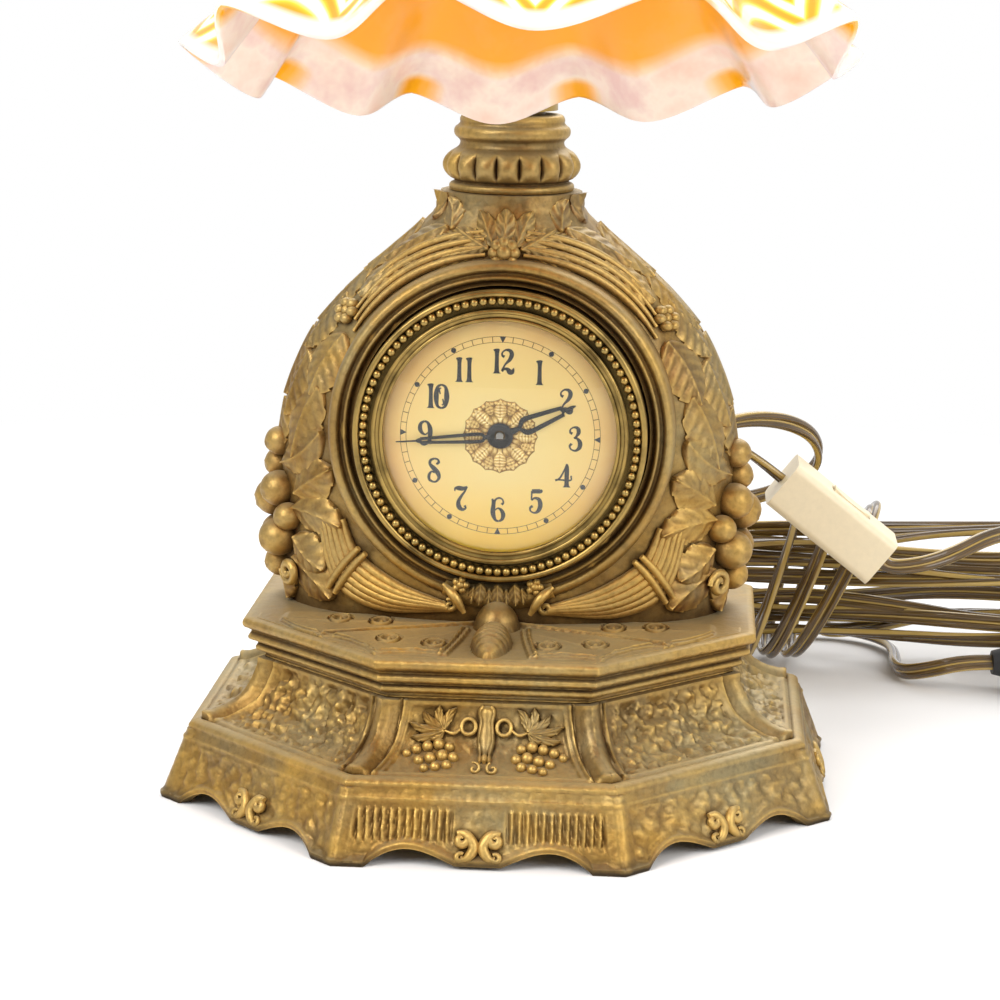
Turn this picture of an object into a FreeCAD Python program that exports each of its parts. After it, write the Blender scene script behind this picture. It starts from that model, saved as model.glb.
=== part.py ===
"""Desk clock lamp: a gilt cast clock on an octagonal plinth, a bent arm and a ruffled glass shade.

Frame: origin on the surface it stands on, under the centre of the plinth; +Z up, the dial faces -Y.
All lengths are in millimetres and all angles in degrees.
"""

import FreeCAD, Part
import math
import os

V = FreeCAD.Vector
UP = V(0, 0, 1)
RIGHT = V(1, 0, 0)
BACK = V(0, 1, 0)
OUT = "parts"

# Common sizes
overrun = 2.0
cast_wall = 3.0
running_clearance = 0.05
loose_clearance = 0.3

# Plinth: an octagon, given by the distance from its axis to its flats
flat_count = 8
skirt_foot_flat = 92.4
skirt_top_flat = 85.1
skirt_height = 19.7
cove_foot_flat = 81.8
cove_foot_height = 21.5
cove_top_flat = 64.2
cove_top_height = 38.0
cove_sagitta = 4.2
step_count = 3
ledge_flat = 70.1
ledge_bead = 0.9
ledge_underside = 46.4
plinth_height = 50.0
foot_width = 8.6
scallop_rise = 4.2
scallop_drop_width = 12.0
scallop_drop_gap = 1.0
skirt_border = 4.2
skirt_panel_depth = 0.8
rib_width = 7.0
rib_proud = 1.8
rib_root = 4.0
wiring_hole = 24.0
plate_seat_height = 7.0
plate_seat_width = 2.4

# Base plate and its screws
base_plate_thickness = 1.2
base_plate_gap = 0.4
screw_boss_circle = 62.0
screw_boss_radius = 4.0
small_screw_radius = 1.6
small_head_radius = 3.0
small_head_height = 1.8
screw_bite = 8.0
base_screw_count = 4

# Clock case: elliptical sections
case_height = 117.0
case_half_width = 63.0
case_half_depth = 30.0
case_level_shares = (0.0, 0.11, 0.23, 0.41, 0.50, 0.58, 0.667, 0.752, 0.846, 0.919, 0.966, 1.0)
case_width_shares = (0.97, 0.995, 1.0, 1.0, 0.976, 0.929, 0.849, 0.722, 0.532, 0.381, 0.310, 0.302)
case_depth_shares = (1.0, 1.0, 1.0, 1.0, 1.0, 0.99, 0.97, 0.93, 0.85, 0.73, 0.650, 0.633)
case_lug_reach = 44.0
case_lug_radius = 5.0
case_lug_height = 9.0
case_lug_depth = 8.0

# Dial opening of the case; depths are measured from the case's middle towards the viewer
dial_height = 103.2
ring_outer = 46.8
ring_front = 30.0
ring_back = 12.0
ring_step_radius = 43.0
ring_step = 1.4
seat_web = 3.0
bezel_radius = 40.0
bezel_side_gap = 0.5
case_tube_wall = 3.4
case_tube_back = 5.0
rear_seat_radius = 38.5
rear_seat_back = 30.6
rear_seat_front = 20.0
rear_opening = 31.0
rear_rebate = 1.2

# Fruit, horns and leaves of the casting
fruit_radius = 7.6
fruit_width_shares = (0.92, 1.03, 0.98, 0.86, 0.74, 0.96)
fruit_level_shares = (0.13, 0.24, 0.34, 0.22, 0.32, 0.42)
fruit_depth_shares = (-0.42, -0.05, -0.30, -0.72, -0.66, 0.10)
fruit_size_shares = (1.0, 1.05, 0.85, 0.95, 0.8, 0.7)
horn_tip_radius = 2.2
horn_mouth_radius = 7.5
horn_tip_reach = 12.0
horn_mouth_reach = 47.0
horn_height = 57.5
horn_lift = 10.0
horn_front = 31.0
shoulder_leaf_width = 11.0
shoulder_leaf_proud = 2.4
moth_thorax_length = 12.0
moth_thorax_width = 11.0
moth_thorax_height = 7.0
moth_abdomen_length = 25.0
moth_abdomen_width = 12.0
moth_abdomen_height = 5.0
moth_front_gap = 3.5
moth_wing_thickness = 0.8
moth_wing_reach_share = 0.90
moth_wing_back_share = 0.47

# Collar under the arm
collar_height = 21.0
collar_foot_radius = 17.2
collar_lobe_circle = 15.0
collar_lobe_radius = 4.4
collar_lobe_height = 7.0
collar_lobe_count = 17
collar_waist_radius = 14.5
collar_waist_height = 12.0
collar_ring_radius = 16.0
collar_ring_height = 17.0
collar_top_radius = 14.0

# Threaded nipple that holds case, collar and arm together
nipple_radius = 4.75
nipple_bore = 3.2
nipple_drop = 22.0
nipple_rise = 9.0
locknut_across = 14.0
locknut_height = 4.0
washer_radius = 9.0
washer_thickness = 1.2

# Arm
arm_radius = 5.0
arm_bore = 3.9
arm_straight_top = 359.6
arm_bend_radius = 39.56
arm_bend_angle = 168.0
head_swing = 5.2
hub_height = 12.0
hub_foot_radius = 12.5
hub_top_radius = 6.6
hub_socket_depth = 3.0

# Lampholder, measured along the shade's axis from the end of the arm
cap_length = 15.0
cap_radius = 17.0
cap_neck_radius = 7.0
cap_neck_length = 8.0
cap_rim = 4.0
holder_wall = 0.7
shell_length = 34.0
insulator_wall = 0.8
insulator_gap = 0.3
screw_shell_radius = 13.6
screw_shell_length = 25.0
core_length = 8.0
gallery_start = 26.0
gallery_shoulder = 8.0
gallery_skirt = 13.0
gallery_wall = 0.9
thumbscrew_count = 3
thumbscrew_radius = 1.5
thumbscrew_head_radius = 4.0
thumbscrew_head_length = 4.0
thumbscrew_reach = 8.0
thumbscrew_inset = 5.0

# Shade: a bell with a ruffled lip
fitter_radius = 28.5
fitter_lip = 4.0
fitter_neck_radius = 26.4
fitter_neck = 8.0
fitter_gap = 1.0
glass_thickness = 2.4
shade_length = 119.0
shade_lip_radius = 78.0
shade_profile_shares = (0.338, 0.372, 0.430, 0.492, 0.550, 0.602, 0.652, 0.706, 0.772, 0.868, 1.0)
ruffle_depth = 4.0
ruffle_flare = 4.5
ruffle_start_share = 0.52
ruffle_azimuths = (0.0, 45.0, 80.0, 118.0, 152.0, 184.5, 215.0, 245.0, 285.0, 323.0)
shade_columns_per_ruffle = 8
shade_rows = 16
ruffle_growth_power = 1.6
shade_slope_share = 0.02

# Bulb
bulb_radius = 24.0
bulb_neck_radius = 12.0
bulb_neck_length = 14.0
bulb_wall = 0.8
bulb_base_radius = 12.9
bulb_base_length = 22.0

# Dial and its cover, depths from the case's middle towards the viewer
bezel_front = 34.5
bezel_edge_height = 2.8
bezel_trough_radius = 38.4
bezel_trough_inner = 36.0
bezel_trough_drop = 2.2
bezel_groove_inner = 34.9
bezel_groove_drop = 3.0
bezel_window = 31.8
bezel_lip = 1.1
bezel_rebate_radius = 34.0
crystal_thickness = 1.0
crystal_rise = 2.6
dial_radius = 33.5
dial_thickness = 0.6
dial_front = 31.0
dial_hole = 3.2
rosette_radius = 10.2
rosette_hole = 3.6
rosette_thickness = 0.35
rosette_lobes = 12
rosette_lobe_depth = 0.5

# Hands
hand_gap = 0.3
hand_thickness = 0.22
hour_hand_length = 22.0
hour_hand_width = 3.4
hour_hand_angle = -66.5
hour_collet_radius = 3.6
minute_hand_length = 28.5
minute_hand_width = 2.6
minute_hand_angle = 94.4
minute_collet_radius = 3.0
hand_tip_width = 0.7
hand_slot_share = 0.45
hand_belly_share = 0.62

# Movement: plates and can
plate_radius = 32.4
plate_thickness = 1.2
front_plate_front = 26.2
back_plate_back = 7.0
can_radius = 33.4
can_wall = 0.6
can_back = 5.6
can_side_gap = 0.3
clamp_ring_inner = 30.0
clamp_ring_outer = 37.0
clamp_ring_thickness = 1.5
clamp_screw_count = 3
pillar_radius = 1.8
pillar_circle = 27.5
pillar_angles = (100.0, 150.0, 245.0, -5.0)
arbor_radius = 0.8

# Movement: trains. Distances between arbors set the tooth modules.
tooth_foot_share = 0.248
tooth_tip_share = 0.10
tooth_addendum_share = 0.75
tooth_dedendum_share = 1.15
wheel_thickness = 0.9
wheel_rim_share = 0.8
pinion_extra = 0.5
barrel_teeth = 60
centre_pinion_teeth = 10
barrel_distance = 15.75
barrel_direction = 195.0
barrel_drum_radius = 12.0
barrel_wall = 0.6
barrel_drum_back = 12.2
barrel_teeth_back = 22.4
mainspring_wall = 0.9
mainspring_turns = 5
winding_arbor_radius = 1.8
centre_arbor_radius = 1.0
centre_tube_radius = 1.7
centre_wheel_back = 10.0
centre_teeth = 64
third_pinion_teeth = 8
third_distance = 14.4
third_direction = 60.0
third_wheel_back = 20.4
third_teeth = 60
fourth_pinion_teeth = 8
fourth_distance = 11.9
fourth_direction = -20.0
fourth_wheel_back = 14.0
fourth_teeth = 60
escape_pinion_teeth = 8
escape_distance = 10.2
escape_direction = -100.0
escape_wheel_back = 17.0
escape_tooth_count = 15
escape_radius = 6.2
escape_root_radius = 4.8
escape_tooth_shares = (0.0, 0.33, 0.5, 0.8)
lever_distance = 9.4
lever_direction = -90.0
lever_pin_radius = 0.35
lever_pin_clearance = 0.2
lever_arm_length = 4.4
lever_thickness = 0.8
lever_staff_share = 0.75
lever_pin_along_share = 0.86
lever_pin_aside_share = 0.5
balance_distance = 9.2
balance_direction = -142.0
balance_radius = 7.2
balance_rim = 1.0
balance_back = 12.9
balance_thickness = 1.0
hairspring_back = 9.4
hairspring_radius = 4.2
hairspring_turns = 5
hairspring_wall = 0.16
hairspring_height = 0.5
cannon_teeth = 12
minute_wheel_teeth = 36
minute_pinion_teeth = 10
hour_wheel_teeth = 40
motion_distance = 6.0
motion_direction = 20.0
cannon_tube_radius = 1.5
hour_pipe_bore = 1.6
hour_pipe_radius = 2.5
motion_gap = 0.35

# Ratchet and click on the back plate
ratchet_teeth = 16
ratchet_radius = 6.0
ratchet_root_radius = 5.0
ratchet_tooth_share = 0.85
ratchet_thickness = 0.8
click_distance = 9.0
click_direction = 60.0
click_width = 2.0
click_clearance = 0.25
click_lean = 38.0

# Rear cover, winding key, setting knob and regulator
rear_cover_radius = 34.0
rear_cover_thickness = 1.0
rear_screw_circle = 32.4
rear_cover_hole_gap = 0.6
rear_stand_off = 2.0
key_hub_radius = 3.2
key_hub_length = 12.0
key_wing_reach = 10.0
key_wing_height = 9.0
key_wing_thickness = 1.8
key_bridge_half_width = 2.6
knob_radius = 4.4
knob_length = 5.0
knob_flutes = 12
knob_flute_radius = 0.5
regulator_reach = 8.6
regulator_width = 2.2
regulator_thickness = 0.8
regulator_pin_radius = 0.8
regulator_direction = -90.0
regulator_swing = 22.0
slot_gap = 0.9

# Cord, its bushing, in-line switch and plug
cord_diameter = 5.2
bushing_radius = 4.6
bushing_flange_radius = 6.6
bushing_flange = 1.6
cord_exit_x = 34.0
cord_exit_y = 29.4
cord_exit_z = 72.0
switch_length = 40.0
switch_width = 22.0
switch_thickness = 16.0
switch_corner = 2.4
switch_centre = (96.0, 93.5, 57.0)
switch_tilt = 38.0
rocker_length = 15.0
rocker_width = 7.0
rocker_proud = 1.8
rocker_depth = 5.0
rocker_shift = 1.5
rocker_pin_radius = 1.0
plug_radius = 10.0
plug_length = 30.0
plug_neck_radius = 5.5
plug_neck_length = 7.0
plug_mouth_wall = 1.2
plug_taper_share = 0.86
plug_end = (149.0, 100.0, 10.4)
plug_turn = 6.0
blade_length = 16.0
blade_width = 6.4
blade_thickness = 1.5
blade_pitch = 12.7

# Hank of cord behind the clock: loops stacked one under the other, drawn in at the waist and wrapped
hank_pitch = 5.8
hank_loops = 6.42
hank_start = 0.34
hank_centre_x = 112.0
hank_axis_y = 132.0
hank_half_length = 70.0
hank_length_spread = 6.0
hank_spread_rate = 2.1
hank_half_width = 17.0
hank_waist_x = 91.0
hank_waist_half_width = 5.5
hank_waist_half_length = 34.0
hank_nodes_per_loop = 16
hank_end_sharpness = 2.0
wrap_radius = 25.5
wrap_foot_x = 70.0
wrap_foot_pitch = 7.5
wrap_head_x = 82.0
wrap_head_pitch = 12.0
wrap_turns = 2.9
wrap_nodes_per_turn = 12
floor_gap = 0.3
hank_lead_in = (131.0, 95.0, 44.0)

# Free stretches of cord: points chosen by hand
lead_route = (
    (34.0, 31.0, 72.0),
    (34.0, 43.0, 72.0),
    (37.0, 56.0, 75.0),
    (46.0, 68.0, 82.5),
    (57.0, 79.0, 87.5),
    (69.0, 90.0, 89.0),
    (81.5, 101.0, 86.5),
    (91.0, 112.5, 80.0),
    (93.5, 122.0, 70.0),
    (86.0, 126.5, 61.8),
    (73.5, 124.5, 57.0),
    (61.5, 118.0, 56.5),
    (53.5, 108.5, 59.0),
    (52.0, 100.0, 67.0),
    (57.0, 95.0, 75.5),
    (66.0, 93.5, 79.5),
    (73.1, 93.5, 74.86),
    (80.24, 93.5, 69.31),
)
tail_route = (
    (70.0, 132.0, 2.9),
    (70.0, 142.5, 2.9),
    (74.5, 154.5, 2.9),
    (85.0, 163.5, 2.9),
    (98.5, 166.5, 2.9),
    (111.5, 161.5, 2.9),
    (119.5, 150.0, 2.9),
    (121.0, 136.0, 2.9),
    (119.5, 122.5, 2.9),
    (121.5, 110.0, 3.4),
    (129.5, 101.0, 7.0),
    (140.05, 99.06, 10.4),
    (149.0, 100.0, 10.4),
)


def polar(radius, angle, z=0.0):
    """A point at a radius and an angle about +Z."""
    turn = math.radians(angle)
    return V(radius * math.cos(turn), radius * math.sin(turn), z)


def face_of(points):
    """A flat face through points; ("arc", through, end) draws an arc from the last point."""
    edges = []
    first = last = V(*points[0])
    for point in points[1:]:
        if point[0] == "arc":
            through, end = V(*point[1]), V(*point[2])
            edges.append(Part.Arc(last, through, end).toShape())
        else:
            end = V(*point)
            edges.append(Part.LineSegment(last, end).toShape())
        last = end
    if last.distanceToPoint(first) > 1e-7 * (first.Length + last.Length + overrun):
        edges.append(Part.LineSegment(last, first).toShape())
    return Part.Face(Part.Wire(edges))


def turned(profile):
    """A solid turned about +Z from (radius, height) points."""
    points = []
    for item in profile:
        if item[0] == "arc":
            points.append(("arc", (item[1][0], 0, item[1][1]), (item[2][0], 0, item[2][1])))
        else:
            points.append((item[0], 0, item[1]))
    return face_of(points).revolve(V(0, 0, 0), UP, 360)


def cylinder(radius, bottom, top, x=0.0, y=0.0):
    return Part.makeCylinder(radius, top - bottom, V(x, y, bottom), UP)


def tube(outer, inner, bottom, top, x=0.0, y=0.0):
    return cylinder(outer, bottom, top, x, y).cut(
        cylinder(inner, bottom - overrun, top + overrun, x, y)
    )


def plate(points, bottom, top):
    """A flat plate with a polygon outline in X and Y."""
    return face_of([(x, y, bottom) for x, y in points]).extrude(V(0, 0, top - bottom))


def box(size_x, size_y, bottom, top):
    """A box centred on the Z axis."""
    return Part.makeBox(size_x, size_y, top - bottom, V(-size_x / 2, -size_y / 2, bottom))


def moved(shape, x=0.0, y=0.0, z=0.0):
    copy = shape.copy()
    copy.translate(V(x, y, z))
    return copy


def spun(shape, angle, centre=V(0, 0, 0), axis=UP):
    copy = shape.copy()
    copy.rotate(centre, axis, angle)
    return copy


def ellipsoid(length_x, length_y, length_z, x, y, z):
    matrix = FreeCAD.Matrix()
    matrix.scale(V(length_x / 2, length_y / 2, length_z / 2))
    return moved(Part.makeSphere(1).transformGeometry(matrix), x, y, z)


def joined(shapes):
    """The shapes fused into one solid."""
    whole = shapes[0].fuse(shapes[1:]) if len(shapes) > 1 else shapes[0]
    return whole.removeSplitter()


def clock_frame(shape):
    """From the movement's frame (+Z towards the viewer, +Y up, origin at the dial) to the lamp's."""
    return moved(spun(shape, 90, axis=RIGHT), z=dial_height)


def head_frame(shape):
    """From the shade's frame (+Z along its axis away from the arm's end) to the lamp's."""
    bend = math.radians(arm_bend_angle)
    end_y = -arm_bend_radius * (1 - math.cos(bend)) - cap_neck_length * math.sin(bend)
    end_z = arm_straight_top + arm_bend_radius * math.sin(bend) + cap_neck_length * math.cos(bend)
    tilted = moved(spun(shape, arm_bend_angle, axis=RIGHT), y=end_y, z=end_z)
    return spun(tilted, head_swing)


def save(name, shape):
    """Write one sub-part, as one solid or as a group of separate solids."""
    solids = shape.Solids
    result = solids[0] if len(solids) == 1 else Part.makeCompound(solids)
    if not result.isValid():
        print("not valid:", name)
    result.exportStep(os.path.join(OUT, name + ".step"))
    print(f"{name}: {len(solids)} solid, {result.Volume:.1f} mm3")


def octagon(outline):
    """An octagonal solid whose flats follow a half outline of (distance, height) points."""
    right, left = [], []
    for item in outline:
        if item[0] == "arc":
            right.append(("arc", (item[1][0], 0, item[1][1]), (item[2][0], 0, item[2][1])))
        else:
            right.append((item[0], 0, item[1]))
    last = None
    for item in outline:
        end = item[2] if item[0] == "arc" else item
        if last is not None:
            if item[0] == "arc":
                left.append(("arc", (-item[1][0], 0, item[1][1]), (-last[0], 0, last[1])))
            else:
                left.append((-last[0], 0, last[1]))
        last = end
    left.append((-last[0], 0, last[1]))
    path = right + left[::-1]
    reach = 2 * skirt_foot_flat
    bar = moved(face_of(path), y=-reach / 2).extrude(V(0, reach, 0))
    whole = bar
    for k in range(1, flat_count // 2):
        whole = whole.common(spun(bar, k * 360 / flat_count))
    return whole


def cove_middle(radial_scale=1, proud=0):
    """The middle point of the plinth's hollow moulding, or of a rib that stands proud of it."""
    run = cove_foot_flat - cove_top_flat
    rise = cove_top_height - cove_foot_height
    chord = math.hypot(run, rise)
    x = (cove_foot_flat + cove_top_flat) / 2 - cove_sagitta * rise / chord
    z = (cove_foot_height + cove_top_height) / 2 - cove_sagitta * run / chord
    return x * radial_scale + proud, z


def plinth_outline():
    outline = [
        (skirt_foot_flat, 0),
        (skirt_top_flat, skirt_height),
        (cove_foot_flat, cove_foot_height),
        ("arc", cove_middle(), (cove_top_flat, cove_top_height)),
    ]
    step_out = (ledge_flat - cove_top_flat) / step_count
    step_up = (ledge_underside - cove_top_height) / step_count
    for k in range(step_count):
        outline.append((cove_top_flat + (k + 1 / 2) * step_out, cove_top_height + (k + 1 / 5) * step_up))
        outline.append((cove_top_flat + (k + 1) * step_out, cove_top_height + (k + 1) * step_up))
    outline += [
        (ledge_flat + ledge_bead, (ledge_underside + plinth_height) / 2),
        (ledge_flat, plinth_height - ledge_bead),
        (ledge_flat - ledge_bead, plinth_height),
    ]
    return outline


def plinth():
    body = octagon(plinth_outline())
    hollow_low = octagon([
        (skirt_foot_flat - cast_wall, -overrun),
        (skirt_top_flat - cast_wall, skirt_height - cast_wall),
    ])
    neck = cove_top_flat - cast_wall
    hollow_high = octagon([(neck, -overrun), (neck, plinth_height - cast_wall)])
    body = body.cut([hollow_low, hollow_high])
    corner = 1 / math.cos(math.pi / flat_count)
    rib_face = face_of([
        (cove_foot_flat * corner - rib_root, 0, cove_foot_height),
        (cove_foot_flat * corner + rib_proud, 0, cove_foot_height),
        (
            "arc",
            (cove_middle(corner, rib_proud)[0], 0, cove_middle(corner)[1]),
            (cove_top_flat * corner + rib_proud, 0, cove_top_height),
        ),
        (cove_top_flat * corner - rib_root, 0, cove_top_height),
        ("arc", (cove_middle(corner, -rib_root / 2)[0], 0, cove_middle(corner)[1]),
         (cove_foot_flat * corner - rib_root, 0, cove_foot_height)),
    ])
    rib = moved(rib_face, y=-rib_width / 2).extrude(V(0, rib_width, 0))
    step = 360 / flat_count
    ribs = [spun(rib, (k + 0.5) * step) for k in range(flat_count)]
    half_side = skirt_foot_flat * math.tan(math.pi / flat_count)
    arch = half_side - foot_width
    drop = scallop_drop_width / 2
    scallop_face = face_of([
        (0, -arch, -overrun),
        (0, -arch, 0),
        ("arc", (0, -arch + foot_width / 2, scallop_rise), (0, -drop, scallop_drop_gap)),
        (0, drop, scallop_drop_gap),
        ("arc", (0, arch - foot_width / 2, scallop_rise), (0, arch, 0)),
        (0, arch, -overrun),
    ])
    scallop = moved(scallop_face, x=cove_top_flat).extrude(V(skirt_foot_flat, 0, 0))
    slope = math.degrees(math.atan2(skirt_foot_flat - skirt_top_flat, skirt_height))
    panel_low = scallop_rise + skirt_border / 2
    panel_half = skirt_top_flat * math.tan(math.pi / flat_count) - skirt_border
    panel = Part.makeBox(
        overrun, 2 * panel_half, skirt_height - panel_low - skirt_border,
        V(-skirt_panel_depth, -panel_half, panel_low),
    )
    panel = moved(spun(panel, -slope, axis=BACK), x=skirt_foot_flat)
    cuts = [spun(cut, k * step) for k in range(flat_count) for cut in (scallop, panel)]
    body = body.fuse(ribs).cut(cuts)
    seat_top = plate_seat_height + plate_seat_width
    boss_top = cove_foot_height - cast_wall
    bosses = []
    for k in range(base_screw_count):
        at = polar(screw_boss_circle, (k + 0.5) * 360 / base_screw_count)
        bosses.append(cylinder(screw_boss_radius, plate_seat_height, boss_top, at.x, at.y))
        arm_in = spun(
            Part.makeBox(
                skirt_top_flat - cast_wall / 2 - screw_boss_circle, plate_seat_width,
                boss_top - seat_top, V(screw_boss_circle, -plate_seat_width / 2, seat_top),
            ),
            (k + 0.5) * 360 / base_screw_count,
        )
        bosses.append(arm_in)
    body = body.fuse(bosses)
    holes = [cylinder(wiring_hole, cove_top_height, plinth_height + overrun)]
    for k in range(base_screw_count):
        at = polar(screw_boss_circle, (k + 0.5) * 360 / base_screw_count)
        holes.append(
            cylinder(small_screw_radius, plate_seat_height - overrun,
                     plate_seat_height + screw_bite, at.x, at.y)
        )
    for side in (-1, 1):
        holes.append(
            cylinder(small_screw_radius, cove_top_height, plinth_height + overrun,
                     side * case_lug_reach)
        )
    body = body.cut(holes).fuse(moth())
    save("plinth", body.removeSplitter())


def moth():
    """The moth cast on the ledge in front of the dial: thorax, abdomen and two wings."""
    front = -ledge_flat + moth_front_gap
    abdomen_y = front + moth_abdomen_length / 2
    thorax_y = front + moth_abdomen_length + moth_thorax_length / 3
    bodies = [
        ellipsoid(moth_abdomen_width, moth_abdomen_length, 2 * moth_abdomen_height,
                  0, abdomen_y, plinth_height),
        ellipsoid(moth_thorax_width, moth_thorax_length, 2 * moth_thorax_height,
                  0, thorax_y, plinth_height),
    ]
    corner_half = ledge_flat * math.tan(math.pi / flat_count)
    reach = moth_wing_reach_share * ledge_flat
    back = -moth_wing_back_share * ledge_flat
    for side in (-1, 1):
        outline = [
            (0, thorax_y), (side * corner_half, back), (side * reach, back),
            (side * corner_half, front + moth_front_gap), (0, front + moth_front_gap),
        ]
        bodies.append(plate(outline, plinth_height - cast_wall / 2,
                            plinth_height + moth_wing_thickness))
    keep = box(2 * ledge_flat, 2 * ledge_flat, plinth_height - cast_wall / 2,
               plinth_height + 2 * moth_thorax_height)
    return [shape.common(keep) for shape in bodies]


def case_section(width, depth, level):
    ellipse = Part.Ellipse(V(0, 0, level), width, depth)
    return Part.Wire([ellipse.toShape()])


def case_loft(inset, bottom, top):
    """The case's body as a loft, inset by a wall, between two levels of its own."""
    wires = []
    for level, width, depth in zip(case_level_shares, case_width_shares, case_depth_shares):
        z = bottom + level * (top - bottom)
        wires.append(case_section(width * case_half_width - inset,
                                  depth * case_half_depth - inset, z))
    return Part.makeLoft(wires, True, False)


def clock_case():
    top = plinth_height + case_height
    ring = clock_frame(turned([
        (bezel_radius + bezel_side_gap, ring_back),
        (ring_outer, ring_back),
        (ring_outer, ring_front - 2 * ring_step),
        (ring_outer - ring_step, ring_front - ring_step / 2),
        (ring_outer - 2 * ring_step, ring_front),
        (ring_step_radius, ring_front - ring_step / 2),
        (ring_step_radius - ring_step, ring_front - ring_step),
        (bezel_radius + bezel_side_gap, ring_front - ring_step),
    ]))
    fruits = []
    sizes = zip(fruit_width_shares, fruit_level_shares, fruit_depth_shares, fruit_size_shares)
    for width, level, depth, size in sizes:
        fruit = Part.makeSphere(
            fruit_radius * size,
            V(width * case_half_width, depth * case_half_depth, plinth_height + level * case_height),
        )
        fruits += [fruit, fruit.mirror(V(0, 0, 0), RIGHT)]
    rear = clock_frame(cylinder(rear_seat_radius, -rear_seat_back, -rear_seat_front))
    body = case_loft(0, plinth_height, top)
    body = body.fuse([ring, rear] + fruits + horns() + shoulder_leaves())

    # The hollow leaves a tube for the movement, a web behind the bezel, a rear seat and two lugs
    bore = can_radius + can_side_gap
    web_front = bezel_front - bezel_edge_height - bezel_groove_drop
    kept = [
        clock_frame(cylinder(bore + case_tube_wall, case_tube_back, web_front)),
        clock_frame(cylinder(ring_outer, web_front - seat_web, ring_front)),
        clock_frame(cylinder(rear_seat_radius + cast_wall / 2, -rear_seat_back - overrun,
                             -rear_seat_front)),
    ]
    for side in (-1, 1):
        x = side * case_lug_reach
        lug_top = plinth_height + case_lug_height
        kept.append(cylinder(case_lug_radius, plinth_height - overrun, lug_top, x))
        kept.append(moved(box(2 * case_lug_radius, 2 * case_half_depth, lug_top - cast_wall, lug_top), x=x))
    hollow = case_loft(cast_wall, plinth_height, top - cast_wall).cut(kept)
    body = body.cut(hollow)

    cuts = [
        clock_frame(cylinder(bezel_radius + bezel_side_gap, web_front, ring_front + 2 * overrun)),
        clock_frame(cylinder(bore, case_tube_back - overrun, web_front + overrun)),
        clock_frame(cylinder(rear_opening, -rear_seat_back - overrun, -rear_seat_front + overrun)),
        clock_frame(cylinder(rear_cover_radius + loose_clearance, -rear_seat_back - 2 * overrun,
                             -rear_seat_back + rear_rebate)),
        cylinder(nipple_radius + running_clearance, top - 2 * cast_wall, top + overrun),
        Part.makeCylinder(bushing_radius, 3 * cast_wall,
                          V(cord_exit_x, cord_exit_y + cast_wall / 2, cord_exit_z), -BACK),
    ]
    for side in (-1, 1):
        cuts.append(cylinder(small_screw_radius, plinth_height - overrun,
                             plinth_height + case_lug_depth, side * case_lug_reach))
    for at in clamp_screw_places():
        cuts.append(clock_frame(cylinder(small_screw_radius / 2, case_tube_back - overrun,
                                         case_tube_back + screw_bite / 2, at.x, at.y)))
    for at in rear_screw_places():
        cuts.append(clock_frame(cylinder(small_screw_radius / 2, -rear_seat_back,
                                         -rear_seat_back + screw_bite, at.x, at.y)))
    save("clock_case", body.cut(cuts))


def clamp_screw_places():
    circle = can_radius + can_side_gap + case_tube_wall / 2
    return [polar(circle, 30 + k * 360 / clamp_screw_count) for k in range(clamp_screw_count)]


def rear_screw_places():
    return [polar(rear_screw_circle, 90 + k * 360 / clamp_screw_count)
            for k in range(clamp_screw_count)]


def horns():
    """Two tapered horns of plenty that curl round the foot of the dial ring."""
    result = []
    for side in (-1, 1):
        start = V(side * horn_tip_reach, -horn_front, horn_height)
        end = V(side * horn_mouth_reach, -horn_front + horn_mouth_radius, horn_height + horn_lift)
        way = end - start
        cone = Part.makeCone(horn_tip_radius, horn_mouth_radius, way.Length, start, way)
        result.append(cone)
    return result


def shoulder_leaves():
    """A raised band of leaves down each shoulder of the case."""
    wide = case_loft(-shoulder_leaf_proud, plinth_height, plinth_height + case_height)
    keep = Part.makeBox(
        2 * (case_half_width + overrun), shoulder_leaf_width, case_height,
        V(-case_half_width - overrun, -shoulder_leaf_width, dial_height),
    )
    low = Part.makeBox(
        2 * (case_half_width + overrun), 2 * shoulder_leaf_width, case_height,
        V(-case_half_width - overrun, -shoulder_leaf_width, dial_height + ring_outer),
    )
    return [wide.common(keep).cut(low)]


def collar():
    foot = plinth_height + case_height
    inner = nipple_radius + running_clearance
    body = turned([
        (inner, foot),
        (collar_foot_radius, foot),
        (collar_foot_radius, foot + collar_lobe_height / 3),
        (collar_lobe_circle, foot + collar_lobe_height / 2),
        (collar_lobe_circle, foot + collar_lobe_height + collar_lobe_radius / 2),
        (collar_waist_radius, foot + collar_waist_height),
        (collar_ring_radius, foot + (collar_waist_height + collar_ring_height) / 2),
        (collar_ring_radius, foot + collar_ring_height),
        (collar_top_radius, foot + collar_height),
        (inner, foot + collar_height),
    ])
    lobes = [
        Part.makeSphere(collar_lobe_radius,
                        polar(collar_lobe_circle, k * 360 / collar_lobe_count,
                              foot + collar_lobe_height))
        for k in range(collar_lobe_count)
    ]
    bore = cylinder(inner, foot - overrun, foot + collar_height + overrun)
    save("neck_collar", body.fuse(lobes).cut(bore))


def hex_prism(across, bottom, top):
    corner = across / math.sqrt(3)
    return plate([(polar(corner, 60 * k).x, polar(corner, 60 * k).y) for k in range(6)], bottom, top)


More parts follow.
